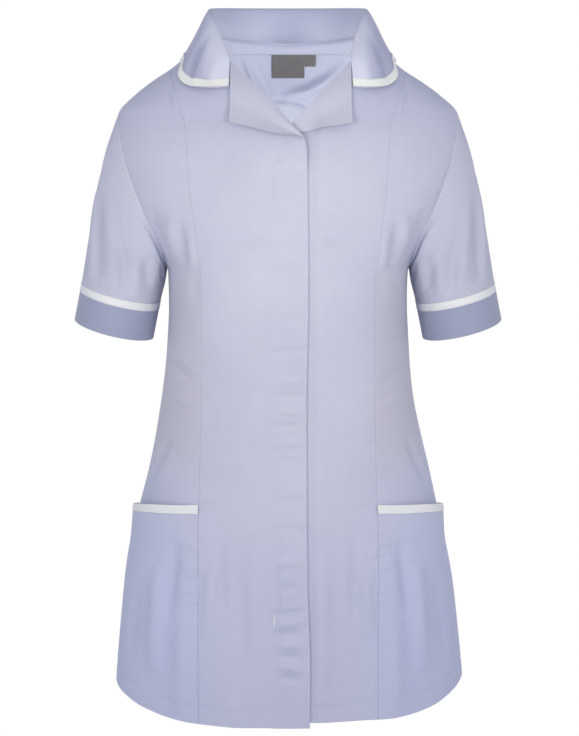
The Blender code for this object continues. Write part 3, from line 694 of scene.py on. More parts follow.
def makePiece(name, outer, inner, finish, slot="tunic_cloth", ring=False):
    # The piece takes the place of its solid, and its sheet is the cloth as it was cut
    grids[name] = (outer, unit(outer - inner))
    piece, width, length = clothMesh(name, outer, inner, finish, ring)
    width, length = width + cloth["turnedEdge"], length + cloth["turnedEdge"]
    area = min(sum(polygon.area for polygon in piece.data.polygons) / 2, width * length)
    say("%s is cut %.3f by %.3f m, %.4f m2" % (name, width, length, area))
    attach(piece, "root")
    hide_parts(re.sub("([A-Z])", r"_\1", name).lower())


def makeWall(name, rows, normals, low, high, *settings):
    # From low to high along the normals
    makePiece(name, rows + normals * high, rows + normals * low, *settings)


def place(name, base, lift, wallThickness, finish, side=1, folds=None, slot="tunic_cloth"):
    # Puts a wall on the form: its inner face lies at the lift, its outer face beyond
    base, normals = mirrored(side, base, outward(base))
    lift = np.broadcast_to(lift, base.shape[:2])
    if folds is not None:
        lift = lift + folds(base)
    inner = sway(base + normals * lift[..., None])
    outer = sway(base + normals * (lift + wallThickness)[..., None])
    makePiece(name, outer, inner, finish, slot)


# Creases of the body, as soft troughs and ridges

bodyCreases = (          # side (0 both), line of (x, height), half width, depth, in mm; minus rises
    (0, ((157, -222), (150, -235), (139, -243)), 5, 3.4),
    (-1, ((-12.5, -540), (-12, -625), (-12.5, -705)), 3, 0.6),
    (-1, ((-2.5, -124.5), (-6.5, -131), (-9.5, -136)), 2.6, 0.7),
    (-1, ((-17, -144), (-17.1, -158), (-17.2, -174)), 2.4, 0.7),
    (0, ((152, -186), (150, -205), (145, -224)), 10, 1.1),
    (0, ((127, -190), (132, -213), (134, -234)), 9.5, -1.1),
    (0, ((124, -198), (119, -225), (117, -252)), 9.5, 1.1),
    (0, ((110, -213), (108, -240), (107, -264)), 8, -0.6),
    (0, ((106, -248), (104, -275), (103, -302)), 8.5, 0.4),
    (-1, ((-86, -217), (-53, -220), (-20, -216)), 11, 1.1),
    (1, ((24, -215), (52, -219), (79, -216)), 10, 1),
    (0, ((131, -45), (127, -60), (123, -78)), 4, -0.8),
    (0, ((136, -48), (133, -64), (128, -80)), 4, 0.7),
    (0, ((139, -352), (120, -372), (101, -384)), 8, 0.9),
    (0, ((141, -392), (124, -402), (104, -409)), 8, -0.8),
    (0, ((159, -503), (150, -480), (135, -448)), 9, 1.2),
    (0, ((147, -590), (150, -650), (155, -715)), 11, -2.4),
    (0, ((126, -560), (132, -605), (137, -650)), 10, 2.2),
    (0, ((168, -600), (174, -655), (180, -715)), 10, 1.2),
    (0, ((119, -640), (121, -700), (124, -760)), 11, -1.4),
    (0, ((87, -585), (89, -626), (92, -670)), 8, -1.4),
    (0, ((75, -555), (74, -603), (72, -650)), 8, 1.2),
    (-1, ((-56, -560), (-54, -625), (-55, -690)), 11, 1.3),
    (1, ((52, -560), (55, -620), (54, -680)), 11, 1),
    (-1, ((-36, -600), (-34, -670), (-37, -760)), 12, -1),
    (1, ((36, -590), (39, -660), (38, -750)), 12, -0.9),
    (-1, ((-105, -524), (-94, -519), (-83, -518)), 4.5, 0.6),
    (1, ((105, -524), (95, -519), (84, -517)), 4.5, 0.6),
)
backCreases = (          # the same on the back, which the photo doesn't show
    (0, ((150, -222), (140, -232), (124, -240)), 6, 3),
    (0, ((140, -185), (130, -205), (124, -230)), 6.5, 1.4),
    (0, ((118, -190), (112, -215), (108, -242)), 6.5, -1.2),
    (-1, ((-22, -64), (-6, -62.6), (6, -63.4), (26, -73)), 2.4, 2.8),
    (-1, ((-24, -59), (-6, -57.6), (10, -59), (28, -68)), 3.4, -1.2),
    (-1, ((-52, -10), (-43, -34), (-26, -60)), 4.2, 3.4),
    (-1, ((-40, -10), (-30, -34), (-20, -56)), 5, -1.2),
    (-1, ((72, -16), (48, -34.7), (26, -47), (-8, -56)), 7.8, 5.4),
    (-1, ((-128, -355), (-90, -382), (-45, -392)), 10, 1.6),
    (1, ((126, -362), (85, -386), (50, -396)), 10, 1.4),
    (0, ((130, -396), (90, -415), (55, -420)), 10, -1.2),
    (0, ((60, -560), (64, -650), (68, -745)), 14, 2.2),
    (0, ((95, -540), (103, -640), (111, -742)), 13, -2),
    (0, ((135, -570), (144, -650), (152, -735)), 12, 2),
    (-1, ((-20, -590), (-18, -670), (-21, -750)), 14, -1.4),
    (1, ((22, -600), (26, -680), (24, -750)), 14, -1.2),
)
frontPuckers = (         # side, middle x, height, half length, half width, depth, in mm
    (-1, 1, -250, 18, 5, 0.4), (-1, 2, -300, 18, 5, -0.4), (-1, 2, -345, 19, 5, 0.5),
    (-1, 4, -380, 18, 4.5, -0.5), (-1, 2, -396, 20, 4.8, 0.7), (-1, 3, -414, 20, 4.8, -0.8),
    (-1, 1, -430, 19, 4.8, 0.8), (-1, 3, -449, 19, 5, -0.7), (-1, 2, -470, 18, 5, 0.6),
    (-1, 1, -505, 18, 5.5, -0.5), (-1, 2, -545, 19, 5.5, 0.6), (-1, 3, -583, 19, 5.5, -0.6),
    (-1, 2, -612, 19, 5, 0.6), (-1, 2, -640, 20, 4.8, 0.9), (-1, 3, -652, 20, 4.5, -0.9),
    (-1, 1, -664, 20, 4.8, 1), (-1, 3, -677, 20, 4.8, -1.1), (-1, 2, -690, 20, 4.8, 1.1),
    (-1, 3, -703, 19, 4.8, -1), (-1, 1, -715, 18, 5, 0.8), (0, 104, -556, 10, 2.6, 0.5),
    (0, 106, -567, 11, 2.6, -0.5), (0, 105, -579, 11, 2.6, 0.6), (0, 107, -591, 11, 2.6, -0.5),
    (0, 106, -603, 10, 2.6, 0.5), (0, 105, -617, 10, 2.8, -0.4), (0, 105, -634, 9, 2.8, 0.4),
    (0, 106, -652, 9, 2.8, -0.3),
)
puckerShape = {"uneven": 0.22, "unevenTurns": 977, "lean": 0.0025, "leanTurns": 431, "bow": 0.0010}
fastening = {"place": (-0.0124, -0.1405), "radius": 0.0050, "soft": (0.75, 1.15), "height": 0.0014}
drift = {"depth": 0.00040, "turnedEdge": 0.00050, "turnedReach": 0.0022, "hemDepth": 0.0018,
         "hemFrom": -0.500, "hemSides": 0.5, "leftFrom": 0.02}
driftWaves = (           # strength, times round the body, turn in each metre down, start
    (1.0, 3, 21, 0.7), (1.0, 5, -34, 2.1), (0.7, 9, 47, 4.0),
)
hemWaves = (             # strength, times round the body, start
    (1.0, 9, 0.6), (0.5, 15, 2.0),
)
creaseShape = {"ends": 0.7, "shoulders": 0.8}
creaseStrength = {"body": 2.4, "back": 1.6, "puckers": 2.4, "sleeve": 1.9}


def creaseDepth(points, line, halfWidth, depth, strength):
    # A trough with soft shoulders, its half width and depth in mm, that fades to its line's ends
    nearest = np.full(points.shape[:-1], 1e9)
    share = np.zeros(points.shape[:-1])
    lengths = np.linalg.norm(np.diff(line, axis=0), axis=1)
    for start, end, done, length in zip(line[:-1], line[1:],
                                        np.append(0, np.cumsum(lengths)), lengths):
        t = np.clip(((points - start) @ (end - start)) / length**2, 0, 1)
        away = np.linalg.norm(points - start - t[..., None] * (end - start), axis=-1)
        closer = away < nearest
        nearest = np.where(closer, away, nearest)
        share = np.where(closer, (done + t * length) / lengths.sum(), share)
    d = (nearest / (halfWidth / 1000))**2
    ends, shoulders = creaseShape["ends"], creaseShape["shoulders"]
    low = -(depth / 1000 * strength) * np.sin(np.pi * share)**ends
    return low * (1 - shoulders * d) * np.exp(-shoulders * d)


def drifting(points):
    # Slight unevenness, the hem's turned edge and the hem's soft waves
    x, y, height = np.moveaxis(points, -1, 0)
    turn = np.arctan2(x, -y)
    around = np.abs(np.degrees(turn))
    waves = sum(strength * np.sin(times * turn + fall * height + start)
                for strength, times, fall, start in driftWaves)
    fromHem = height - drape.at("hem", around) - (x > drift["leftFrom"]) * hemRise(around)
    turned = np.exp(-((fromHem - cloth["hemTurn"]) / drift["turnedReach"])**2)
    low = sum(strength * np.sin(times * turn + start) for strength, times, start in hemWaves)
    low = low * np.abs(np.sin(turn))**drift["hemSides"]
    low = low * smooth(height, drift["hemFrom"], levels["hem"])
    return drift["depth"] * waves - drift["turnedEdge"] * turned + drift["hemDepth"] * low


def hands(side):
    return (1, -1) if side == 0 else (1,)


def bodyFolds(points):
    lift = drifting(points)
    for rows, back, strength in ((bodyCreases, False, creaseStrength["body"]),
                                 (backCreases, True, creaseStrength["back"])):
        for side, line, halfWidth, depth in rows:
            x, height = np.array(line).T / 1000
            for hand in hands(side):
                where = onBody(x * hand, height, back)
                lift = lift + creaseDepth(points, where, halfWidth, depth, strength)
    strength = creaseStrength["puckers"]
    for side, *sizes, halfWidth, depth in frontPuckers:
        middle, height, halfLength = (size / 1000 for size in sizes)
        for hand in hands(side):
            uneven = 1 + puckerShape["uneven"] * math.sin(puckerShape["unevenTurns"] * height)
            x = hand * middle + halfLength * uneven * np.array((-1.0, 0.0, 1.0))
            lean = puckerShape["lean"] * math.sin(puckerShape["leanTurns"] * height)
            line = onBody(x, height + hand * np.array((-lean, puckerShape["bow"], lean)))
            lift = lift + creaseDepth(points, line, halfWidth, depth, strength)
    away = np.hypot(points[..., 0] - fastening["place"][0], points[..., 2] - fastening["place"][1])
    rise = 1 - smooth(away / fastening["radius"], *fastening["soft"])
    lift = lift + fastening["height"] * rise * (points[..., 1] < 0)
    return lift * smooth(fromArmhole(points), *armholeShape["still"])


def fromArmhole(points):
    # How far each point is from the nearer armhole's edge, whose place is kept for the sleeve
    edge = armholePoint(np.arange(0, 360, 4.0))
    near = np.full(points.shape[:-1], 1.0)
    for rim in edge:
        away = points - rim * np.where(points[..., :1] < 0, (-1, 1, 1), (1, 1, 1))
        near = np.minimum(near, np.linalg.norm(away, axis=-1))
    return near


# Fronts and back

frontSizes = {"lapDepth": 0.0024, "lapFade": (0.0265, 0.0345), "breakLift": 0.0036,
              "breakAside": (0.020, 0.050), "breakHeight": (-0.150, -0.122),
              "hemRise": 0.0058, "hemFade": (38, 76), "centreWidth": 0.14, "sideWidth": 0.115,
              "backWidth": 0.20, "seamDip": 0.00010, "seamReach": 0.0016, "seamRidge": 0.35,
              "ridgePlace": 2.3, "pocketRise": 0.0009, "pocketReach": 0.010, "pocketStart": 0.012}


def hemRise(around):
    # The wearer's left side hangs a little higher at the hem, out to its side
    return frontSizes["hemRise"] * (1 - smooth(around, *frontSizes["hemFade"]))


def raised(side, rows, angle):
    low = smooth(rows, levels["mouth"], levels["hem"])[:, None]
    return low * hemRise(angle) if side > 0 else 0.0


def lapLift(base, side):
    # The wearer's left front lies lower under the lap; the right one stands off at its break
    x, height = base[..., 0], base[..., 2]
    if side > 0:
        return -frontSizes["lapDepth"] * (1 - smooth(x, *frontSizes["lapFade"]))
    near = 1 - smooth(x, *frontSizes["breakAside"])
    return frontSizes["breakLift"] * near * smooth(height, *frontSizes["breakHeight"])


def seamDip(base, first=True):
    # Cloth sinks a little where it is sewn
    fromStart = lengthSoFar(base)
    distances = [fromStart] if first else []
    dip, reach = np.zeros(base.shape[:2]), frontSizes["seamReach"]
    for distance in distances + [fromStart[:, -1:] - fromStart]:
        dip = dip + np.exp(-(distance / reach)**2)
        away = (distance / reach - frontSizes["ridgePlace"])**2
        dip = dip - frontSizes["seamRidge"] * np.exp(-away)
    return -frontSizes["seamDip"] * dip


def besidePocket(base):
    # The seam stands out to the pocket's face, which is caught in it below the mouth
    fromStart = lengthSoFar(base)
    near = np.exp(-((fromStart[:, -1:] - fromStart) / frontSizes["pocketReach"])**2)
    start = levels["mouth"]
    below = smooth(base[..., 2], start, start - frontSizes["pocketStart"])
    return frontSizes["pocketRise"] * near * below


armholeRows = {"top": (2.0, 40.0), "foot": (142.0, 180.0), "step": 4.0, "closest": 0.00025}


def fineLevels(top, bottom):
    # Even levels, with those of the armhole added where they fall far apart along it
    even = np.linspace(top, bottom, int((top - bottom) / cloth["rowCell"]) + 1)
    turns = np.concatenate([np.arange(*armholeRows[part], armholeRows["step"])
                            for part in ("top", "foot")])
    extra = np.append(armhole(turns)[1], (levels["shoulderPoint"], levels["underarm"]))
    extra = extra[(extra < top) & (extra > bottom)]
    every = np.sort(np.concatenate([even, extra]))[::-1]
    return every[np.insert(-np.diff(every) > armholeRows["closest"], 0, True)]


def frontCentre(side, finish):
    topAngles = np.linspace(89.0, gorgeAngle, 16)
    rows = np.concatenate([neckHeight(topAngles), fineLevels(levels["gorge"], levels["hem"])[1:]])
    inner = innerAngle(rows)
    outer = np.where(rows > levels["princessTop"] + 1e-6, 90.0, princessAngle(rows)) - seamStep(rows)
    angle = inner[:, None] + (outer - inner)[:, None] * spread(frontSizes["centreWidth"])
    base = bodyPoint(angle, hung(rows[:, None], angle) + raised(side, rows, angle))
    lift = lapLift(base, side) - cloth["wall"] + seamDip(base, first=False) + besidePocket(base)
    place("frontCentre" + sideNames[side], base, lift, cloth["wall"], finish, side, bodyFolds)


def sideGrid(rows, side):
    start = princessAngle(rows) + seamStep(rows)
    end = sideAngle(rows, False)
    end = np.where(end == 90.0, end - seamStep(rows), end)
    angle = start[:, None] + (end - start)[:, None] * spread(frontSizes["sideWidth"])
    return bodyPoint(angle, hung(rows[:, None], angle) + raised(side, rows, angle))


def frontSide(side, finish):
    base = sideGrid(fineLevels(levels["princessTop"], levels["hem"]), side)
    lift = seamDip(base) - cloth["wall"]
    place("frontSide" + sideNames[side], base, lift, cloth["wall"], finish, side, bodyFolds)


def makeBack(finish):
    rows = fineLevels(levels["shoulderTop"], levels["hem"])
    start = sideAngle(rows, True)
    start = np.where(start == 90.0, start + seamStep(rows), start)
    half = start[:, None] + (180 - start)[:, None] * spread(frontSizes["backWidth"])[None, :-2]
    half = np.concatenate([half, np.full((len(rows), 1), 180.0)], axis=1)
    base = bodyPoint(half, hung(rows[:, None], half))
    base = np.concatenate([base, mirrored(-1, base[:, -2::-1])[0]], axis=1)
    place("back", base, seamDip(base) - cloth["wall"], cloth["wall"], finish, folds=bodyFolds)


# Sleeves and cuffs

sleeveShape = {"end": (0.2025, 0.0, -0.3240), "lean": 11.3, "halfWidth": 0.0470,
               "halfDepth": 0.0570, "dropFront": 0.0050, "dropInside": 0.0025,
               "cuffHeight": 0.0345, "trimWidth": 0.0090, "trimProud": 0.0003,
               "length": 0.17, "middleX": 0.19, "push": 3, "leave": 0.45, "arrive": 0.9,
               "columns": 96, "blend": 0.06}
sleeveAxis = np.array((math.sin(math.radians(sleeveShape["lean"])), 0,
                       -math.cos(math.radians(sleeveShape["lean"]))))
sleeveOut = np.array((-sleeveAxis[2], 0, sleeveAxis[0]))
sleeveFold = Curves(       # turn of the sleeve away from the body's form, round the armhole
    "turn fold push",
    (0, 0, 0.046), (60, 15, 0.038), (90, 38, 0.030), (120, 70, 0.024),
    (150, 118, 0.018), (180, 166, 0.012),
)
sleeveTurns = np.arange(sleeveShape["columns"]) * 360 / sleeveShape["columns"] - 180
sleeveRows = np.concatenate([[0, 0.0008, 0.012, 0.03], np.linspace(0.05, 0.99, 45), [0.9992, 1]])


def armholePoint(turn):
    depth, height = armhole(turn)
    angle = np.where(np.abs(depth) < 1e-9, 90.0, angleAtY(depth, height))
    return bodyPoint(angle, height)


def sleeveRing(turns, above):
    across, along = np.sin(np.radians(turns)), np.cos(np.radians(turns))
    drop = sleeveShape["dropFront"] * across + sleeveShape["dropInside"] * (1 - along)
    return (np.array(sleeveShape["end"]) + sleeveOut * (sleeveShape["halfWidth"] * along)[:, None]
            + np.array((0, -1.0, 0)) * (sleeveShape["halfDepth"] * across)[:, None]
            + sleeveAxis * (drop - above)[:, None])


sleeveCreases = (        # line of (turn, share of the way down), half width, depth, mm; minus rises
    (((20, 0.45), (22, 0.70), (24, 0.97)), 8.5, 1.6),
    (((38, 0.36), (39, 0.62), (41, 0.95)), 8, -1.6),
    (((54, 0.42), (56, 0.65), (58, 0.96)), 8, 1.8),
    (((76, 0.34), (80, 0.62), (84, 0.96)), 10, -2),
    (((99, 0.46), (100, 0.70), (101, 0.97)), 7.5, 1.6),
    (((116, 0.36), (117, 0.60), (118, 0.92)), 8, -1.4),
    (((136, 0.20), (134, 0.44), (136, 0.75)), 8, 1.4),
    (((157, 0.10), (159, 0.22), (166, 0.36)), 6, 1.4),
    (((104, 0.045), (128, 0.040), (152, 0.045), (176, 0.06)), 4.8, 2.8),
    (((15, 0.18), (24, 0.32), (34, 0.44)), 11, 1.1),
    (((-30, 0.50), (-32, 0.72), (-32, 0.96)), 9, 2.2),
    (((-62, 0.42), (-64, 0.66), (-64, 0.96)), 10, -2.4),
    (((-92, 0.40), (-94, 0.64), (-96, 0.95)), 9.5, 2.4),
    (((-124, 0.34), (-126, 0.56), (-128, 0.86)), 8.5, -2),
    (((-152, 0.14), (-150, 0.32), (-146, 0.56)), 7.5, 2.2),
)
sleeveUneven = {"amount": 0.18, "turns": 2.3}
sleeveEase = {"depth": 0.00045, "puckers": 46, "start": 0.01, "reach": 0.15, "even": 0.6,
              "uneven": 0.4, "unevenTurns": 0.11, "upper": (70, 120)}
sleeveEnds = {"top": 0.035, "cuff": (0.90, 1.0), "cuffHold": 0.8}


def sleeveFolds(shares, turns, side):
    # Worked out on the sleeve laid flat: the way round it, and the way down it
    radius, length = (sleeveShape["halfWidth"] + sleeveShape["halfDepth"]) / 2, sleeveShape["length"]
    around, down = np.meshgrid(np.radians(turns) * radius, shares * length)
    flat = np.stack([around, down, np.zeros_like(down)], axis=-1)
    lift = np.zeros(down.shape)
    for number, (line, halfWidth, depth) in enumerate(sleeveCreases):
        uneven = 1 + sleeveUneven["amount"] * math.sin(sleeveUneven["turns"] * number + side)
        uneven = creaseStrength["sleeve"] * uneven
        at = np.array([(math.radians(turn) * radius, share * length, 0) for turn, share in line])
        lift = lift + creaseDepth(flat, at, halfWidth, depth, uneven)
    cap = between(shares, (0, sleeveEase["start"]), (0, sleeveEase["reach"]))
    ease = sleeveEase["even"] + sleeveEase["uneven"] * np.sin(turns * sleeveEase["unevenTurns"])
    ease = np.sin(np.radians(turns) * sleeveEase["puckers"]) * ease
    upper = 1 - smooth(np.abs(turns), *sleeveEase["upper"])
    lift = lift + sleeveEase["depth"] * cap[:, None] * (ease * upper)[None, :]
    ends = smooth(shares, 0, sleeveEnds["top"])
    ends = ends * (1 - smooth(shares, *sleeveEnds["cuff"]) * sleeveEnds["cuffHold"])
    seam = -frontSizes["seamDip"] * np.exp(-(shares * length / frontSizes["seamReach"])**2)
    return lift * ends[:, None] + seam[:, None]


def gridNormals(rows, ring=False):
    before = np.concatenate([rows[:1], rows[:-1]])
    after = np.concatenate([rows[1:], rows[-1:]])
    if ring:
        normals = np.cross(np.roll(rows, -1, axis=1) - np.roll(rows, 1, axis=1), after - before)
        fromMiddle = rows - rows.mean(axis=1, keepdims=True)
        return unit(normals) * np.sign((normals * fromMiddle).sum(-1))[..., None]
    back = np.concatenate([rows[:, :1], rows[:, :-1]], axis=1)
    ahead = np.concatenate([rows[:, 1:], rows[:, -1:]], axis=1)
    return unit(np.cross(ahead - back, after - before))


def makeSleeve(side, finish):
    turns = sleeveTurns
    here = armholePoint(turns)
    normal = outward(here)
    inward = unit(np.cross(normal, armholePoint(turns + 2) - armholePoint(turns - 2)))
    centre = np.array((sleeveShape["middleX"], 0, armholeMiddle))
    inward = inward * np.sign((inward * (centre - here)).sum(-1))[:, None]
    fold = np.radians(sleeveFold.at("fold", np.abs(turns)))[:, None]
    leave = inward * np.cos(fold) + normal * np.sin(fold)
    thick = inward * np.sin(fold) - normal * np.cos(fold)
    first = here + (inward * np.cos(fold / 2) + normal * np.sin(fold / 2)) * cloth["seam"]
    top = sleeveShape["cuffHeight"] + sleeveShape["trimWidth"] + cloth["seam"]
    end = sleeveRing(turns, top)
    length = np.linalg.norm(end - first, axis=1)[:, None]
    push = sleeveFold.at("push", np.abs(turns))[:, None] * sleeveShape["push"]
    depart = leave * push + sleeveAxis * length * sleeveShape["leave"]
    arrive = sleeveAxis * length * sleeveShape["arrive"]
    t = sleeveRows[:, None, None]
    rows = cubic(t, first, depart, end, arrive)
    blend = smooth(t, 0.0, sleeveShape["blend"])
    normals = unit(gridNormals(rows, ring=True) * blend - thick * (1 - blend))
    rows, normals = mirrored(side, rows, normals)
    lift = sleeveFolds(sleeveRows, turns, side)[..., None]
    makeWall("sleeve" + sideNames[side], rows, normals, lift - cloth["wall"], lift, finish,
             "tunic_cloth", True)


def makeBand(name, side, distances, proud, finish, slot):
    rows = np.stack([sleeveRing(sleeveTurns, distance) for distance in distances])
    rows, normals = mirrored(side, rows, gridNormals(rows, ring=True))
    makeWall(name + sideNames[side], rows, normals, proud - cloth["doubleWall"], proud, finish,
             slot, True)


def makeCuff(side, finishes):
    top, trimWidth = sleeveShape["cuffHeight"], sleeveShape["trimWidth"]
    heights = (top - cloth["seam"]) * (1 - spread(top))
    makeBand("cuff", side, heights, 0.0, finishes["cuff"], "cuff_cloth")
    heights = top + trimWidth * (1 - spread(trimWidth))
    makeBand("cuffTrim", side, heights, sleeveShape["trimProud"], finishes["trim"], "white_trim")


# Pockets

pocketShape = {"clear": 0.0004, "gape": 0.0080, "gapePeak": 1.7, "fall": 0.050, "belly": 0.0015}


def pocketLift(base, shares):
    angle = angleAtX(base[..., 0], base[..., 2])
    below = drape.at("mouth", angle) - base[..., 2]
    shares = np.clip(shares, 0, 1)
    gape = np.sin(np.pi * shares**pocketShape["gapePeak"])
    gape = gape * (1 - smooth(below, 0, pocketShape["fall"]))
    return (pocketShape["clear"] + pocketShape["gape"] * gape
            + pocketShape["belly"] * np.sin(np.pi * shares))


def makePocket(side, finishes):
    mouth, name, shares = levels["mouth"], sideNames[side], spread(frontSizes["sideWidth"])
    base = sideGrid(fineLevels(mouth, levels["hem"]), side)
    place("pocket" + name, base, pocketLift(base, shares), cloth["wall"], finishes["body"], side,
          bodyFolds)
    base = sideGrid(mouth - cloth["trimWidth"] * spread(cloth["trimWidth"]), side)
    lift = pocketLift(base, shares) + cloth["wall"] + cloth["gap"]
    place("pocketTrim" + name, base, lift, cloth["binding"], finishes["trim"], side, bodyFolds,
          "white_trim")


# Collar and lapels

collarShape = {"round": 0.0035, "roundShare": 0.5, "pull": 0.55, "clear": 0.0005,
               "neckRadius": 0.09, "fall": 0.045, "seamStep": 0.002, "columns": (30, 60)}
collarFullness = {"bulge": 0.0034, "bulgePeak": 0.75, "from": (54, 61), "to": (66, 79),
                  "slack": 0.0006, "slackTurns": 0.21, "slackSide": 0.6, "slackFall": 5,
                  "seamHold": (0.0, 0.15), "edgeHold": (0.80, 0.98), "uneven": 0.25}
# Where the points of each line lie on the stand, up to the top of the roll, and on the fall
collarStand = np.concatenate([[0, 0.03], np.linspace(0.10, 1, 11)])
collarFall = np.concatenate([[0.05, 0.10], np.linspace(0.17, 0.98, 14), [1.0]])
collarCurves = Curves(
    "neckAngle rollX rollY rollZ edgeAngle edgeHeight lift",
    (52.7, 0.0679, -0.0540, -0.0180, 44.25, -0.0526, 0.0040),
    (56.5, 0.0690, -0.0495, -0.0145, 50.0, -0.0545, 0.0060),
    (61.0, 0.0712, -0.0430, -0.0080, 55.5, -0.0553, 0.0076),
    (66.0, 0.0745, -0.0340, 0.0015, 60.5, -0.0535, 0.0056),
    (72.0, 0.0782, -0.0230, 0.0115, 65.8, -0.0482, 0.0030),
    (78.0, 0.0825, -0.0110, 0.0215, 70.7, -0.0408, 0.0024),
    (84.0, 0.0865, -0.0005, 0.0310, 75.3, -0.0318, 0.0016),
    (91.0, 0.0897, 0.0110, 0.0385, 80.8, -0.0230, 0.0010),
    (100.0, 0.0908, 0.0240, 0.0432, 91.5, -0.0180, 0.0010),
    (118.0, 0.0840, 0.0480, 0.0465, 112.0, -0.0178, 0.0045),
    (140.0, 0.0620, 0.0690, 0.0485, 137.0, -0.0185, 0.0110),
    (160.0, 0.0330, 0.0795, 0.0493, 159.0, -0.0185, 0.0165),
    (180.0, 0.0000, 0.0830, 0.0496, 180.0, -0.0180, 0.0185),
)


def bezier(points, t):
    a, b, c, d = (point[:, None] for point in points)
    t = np.asarray(t)[None, :, None]
    return a * (1 - t)**3 + b * 3 * t * (1 - t)**2 + c * 3 * t * t * (1 - t) + d * t**3


def collarLines(angles):
    # Middle line of the collar's wall from the neck seam over the roll to the outer edge
    seam = bodyPoint(angles, neckHeight(angles))
    lower = bodyPoint(angles, neckHeight(angles) - collarShape["seamStep"])
    half = cloth["doubleWall"] / 2
    seam = seam + unit(unit(seam - lower) + outward(seam)) * (cloth["gap"] + half)
    roll = np.stack([collarCurves.at(name, angles) for name in ("rollX", "rollY", "rollZ")], 1)
    roll = roll - np.array((0, 0, half))
    edge = bodyPoint(collarCurves.at("edgeAngle", angles), collarCurves.at("edgeHeight", angles))
    edge = edge + outward(edge) * collarCurves.at("lift", angles)[:, None]
    across = unit((edge - seam) * np.array((1.0, 1.0, 0.0)))
    reach = collarShape["roundShare"] * np.linalg.norm(roll - seam, axis=1)
    turn = across * np.minimum(collarShape["round"], reach)[:, None]
    pull = collarShape["pull"]
    stand = (seam, seam + (roll - seam) * pull, roll - turn, roll)
    fall = (roll, roll + turn, edge + (roll - edge) * pull, edge)
    line = np.concatenate([bezier(stand, collarStand), bezier(fall, collarFall)], axis=1)
    free = len(collarStand) - 2
    line[:, free:] = keepOutside(line[:, free:], half + collarShape["clear"])
    return line


def collarAngles():
    # One more column close to the collar's front end, so that it turns softly
    front, back = collarShape["columns"]
    front = np.linspace(gorgeAngle, 90, front)
    front = np.concatenate([[front[0], front[0] + 0.5], front[1:]])
    return np.concatenate([front, np.linspace(90, 180, back)[1:]])


def bothSides(half):
    return np.concatenate([half, mirrored(-1, half[-2::-1])[0]])


collarCreases = (        # line of (neck angle, share of the fall), half width, depth, mm; minus rises
    (((58, 0.98), (63, 0.66), (70, 0.22)), 4, 2),
    (((63, 0.96), (68, 0.66), (75, 0.30)), 3.6, -1.8),
    (((68, 0.92), (73, 0.60), (80, 0.20)), 4.4, 2.6),
    (((76, 0.90), (79, 0.65), (84, 0.40)), 3.6, -1),
    (((104, 0.20), (112, 0.55), (116, 0.90)), 8, 1.2),
    (((136, 0.15), (141, 0.50), (142, 0.90)), 9, -1.2),
    (((158, 0.20), (161, 0.55), (160, 0.90)), 9, 1.2),
)


def collarFolds(rows, angles):
    # A full, slightly bowed fall with a few soft folds; nothing moves at the seam or the edge
    done = lengthSoFar(rows)
    top = done[:, [len(collarStand) - 1]]
    share = np.clip((done - top) / (done[:, -1:] - top), 0, 1)
    station = np.abs(angles)[:, None]
    full = collarFullness
    front = between(station, full["from"], full["to"])
    lift = full["bulge"] * front * np.sin(np.pi * share**full["bulgePeak"])
    turn = full["slackTurns"] * station + full["slackSide"] * np.sign(angles)[:, None]
    turn = turn + full["slackFall"] * share
    lift = lift + full["slack"] * np.sin(np.pi * share) * np.sin(turn)
    radius, fall = collarShape["neckRadius"], collarShape["fall"]
    flat = np.stack([np.radians(angles)[:, None] * radius + 0 * share, share * fall, 0 * share],
                    axis=-1)
    hold = between(share, full["seamHold"], full["edgeHold"])
    for line, halfWidth, depth in collarCreases:
        for hand in (1, -1):
            at = np.array([(math.radians(angle) * radius * hand, part * fall, 0)
                           for angle, part in line])
            uneven = 1 + full["uneven"] * hand
            lift = lift + hold * creaseDepth(flat, at, halfWidth, depth, uneven)
    return lift


def makeCollar(finishes):
    angles = collarAngles()
    rows = bothSides(collarLines(angles))
    angles = np.concatenate([-angles, angles[-2::-1]])
    normals = gridNormals(rows)
    facing = np.sign((normals[:, -1] * outward(rows[:, -1])).sum(-1))[:, None, None]
    rows = rows + normals * facing * collarFolds(rows, angles)[..., None]
    normals = gridNormals(rows)
    half = cloth["doubleWall"] / 2
    makePiece("collar", sway(rows + normals * half), sway(rows - normals * half), finishes["collar"])
    makeCollarTrim(rows[:, ::-1], normals[:, ::-1] * facing, half + cloth["gap"],
                   finishes["collarTrim"])


def makeCollarTrim(rows, normals, low, finish):
    # Binding over the outer edge; the rows come edge first
    wanted = cloth["trimWidth"] * spread(cloth["trimWidth"])
    lengths = lengthSoFar(rows)
    band, ways = (np.array([readAlong(line, far, wanted) for line, far in zip(values, lengths)])
                  for values in (rows, normals))
    outer = sway(band + unit(ways) * (low + cloth["binding"]))
    makePiece("collarTrim", outer, sway(band + unit(ways) * low), finish, "white_trim")


lapelShape = {"reach": 0.0672, "start": {-1: -0.0160, 1: -0.0060}, "width": 0.08, "fall": 0.055,
              "spring": 0.0018, "springEnd": 1.6, "clear": 0.0006, "edgeRise": 0.0072,
              "leftFade": (0.018, 0.035)}


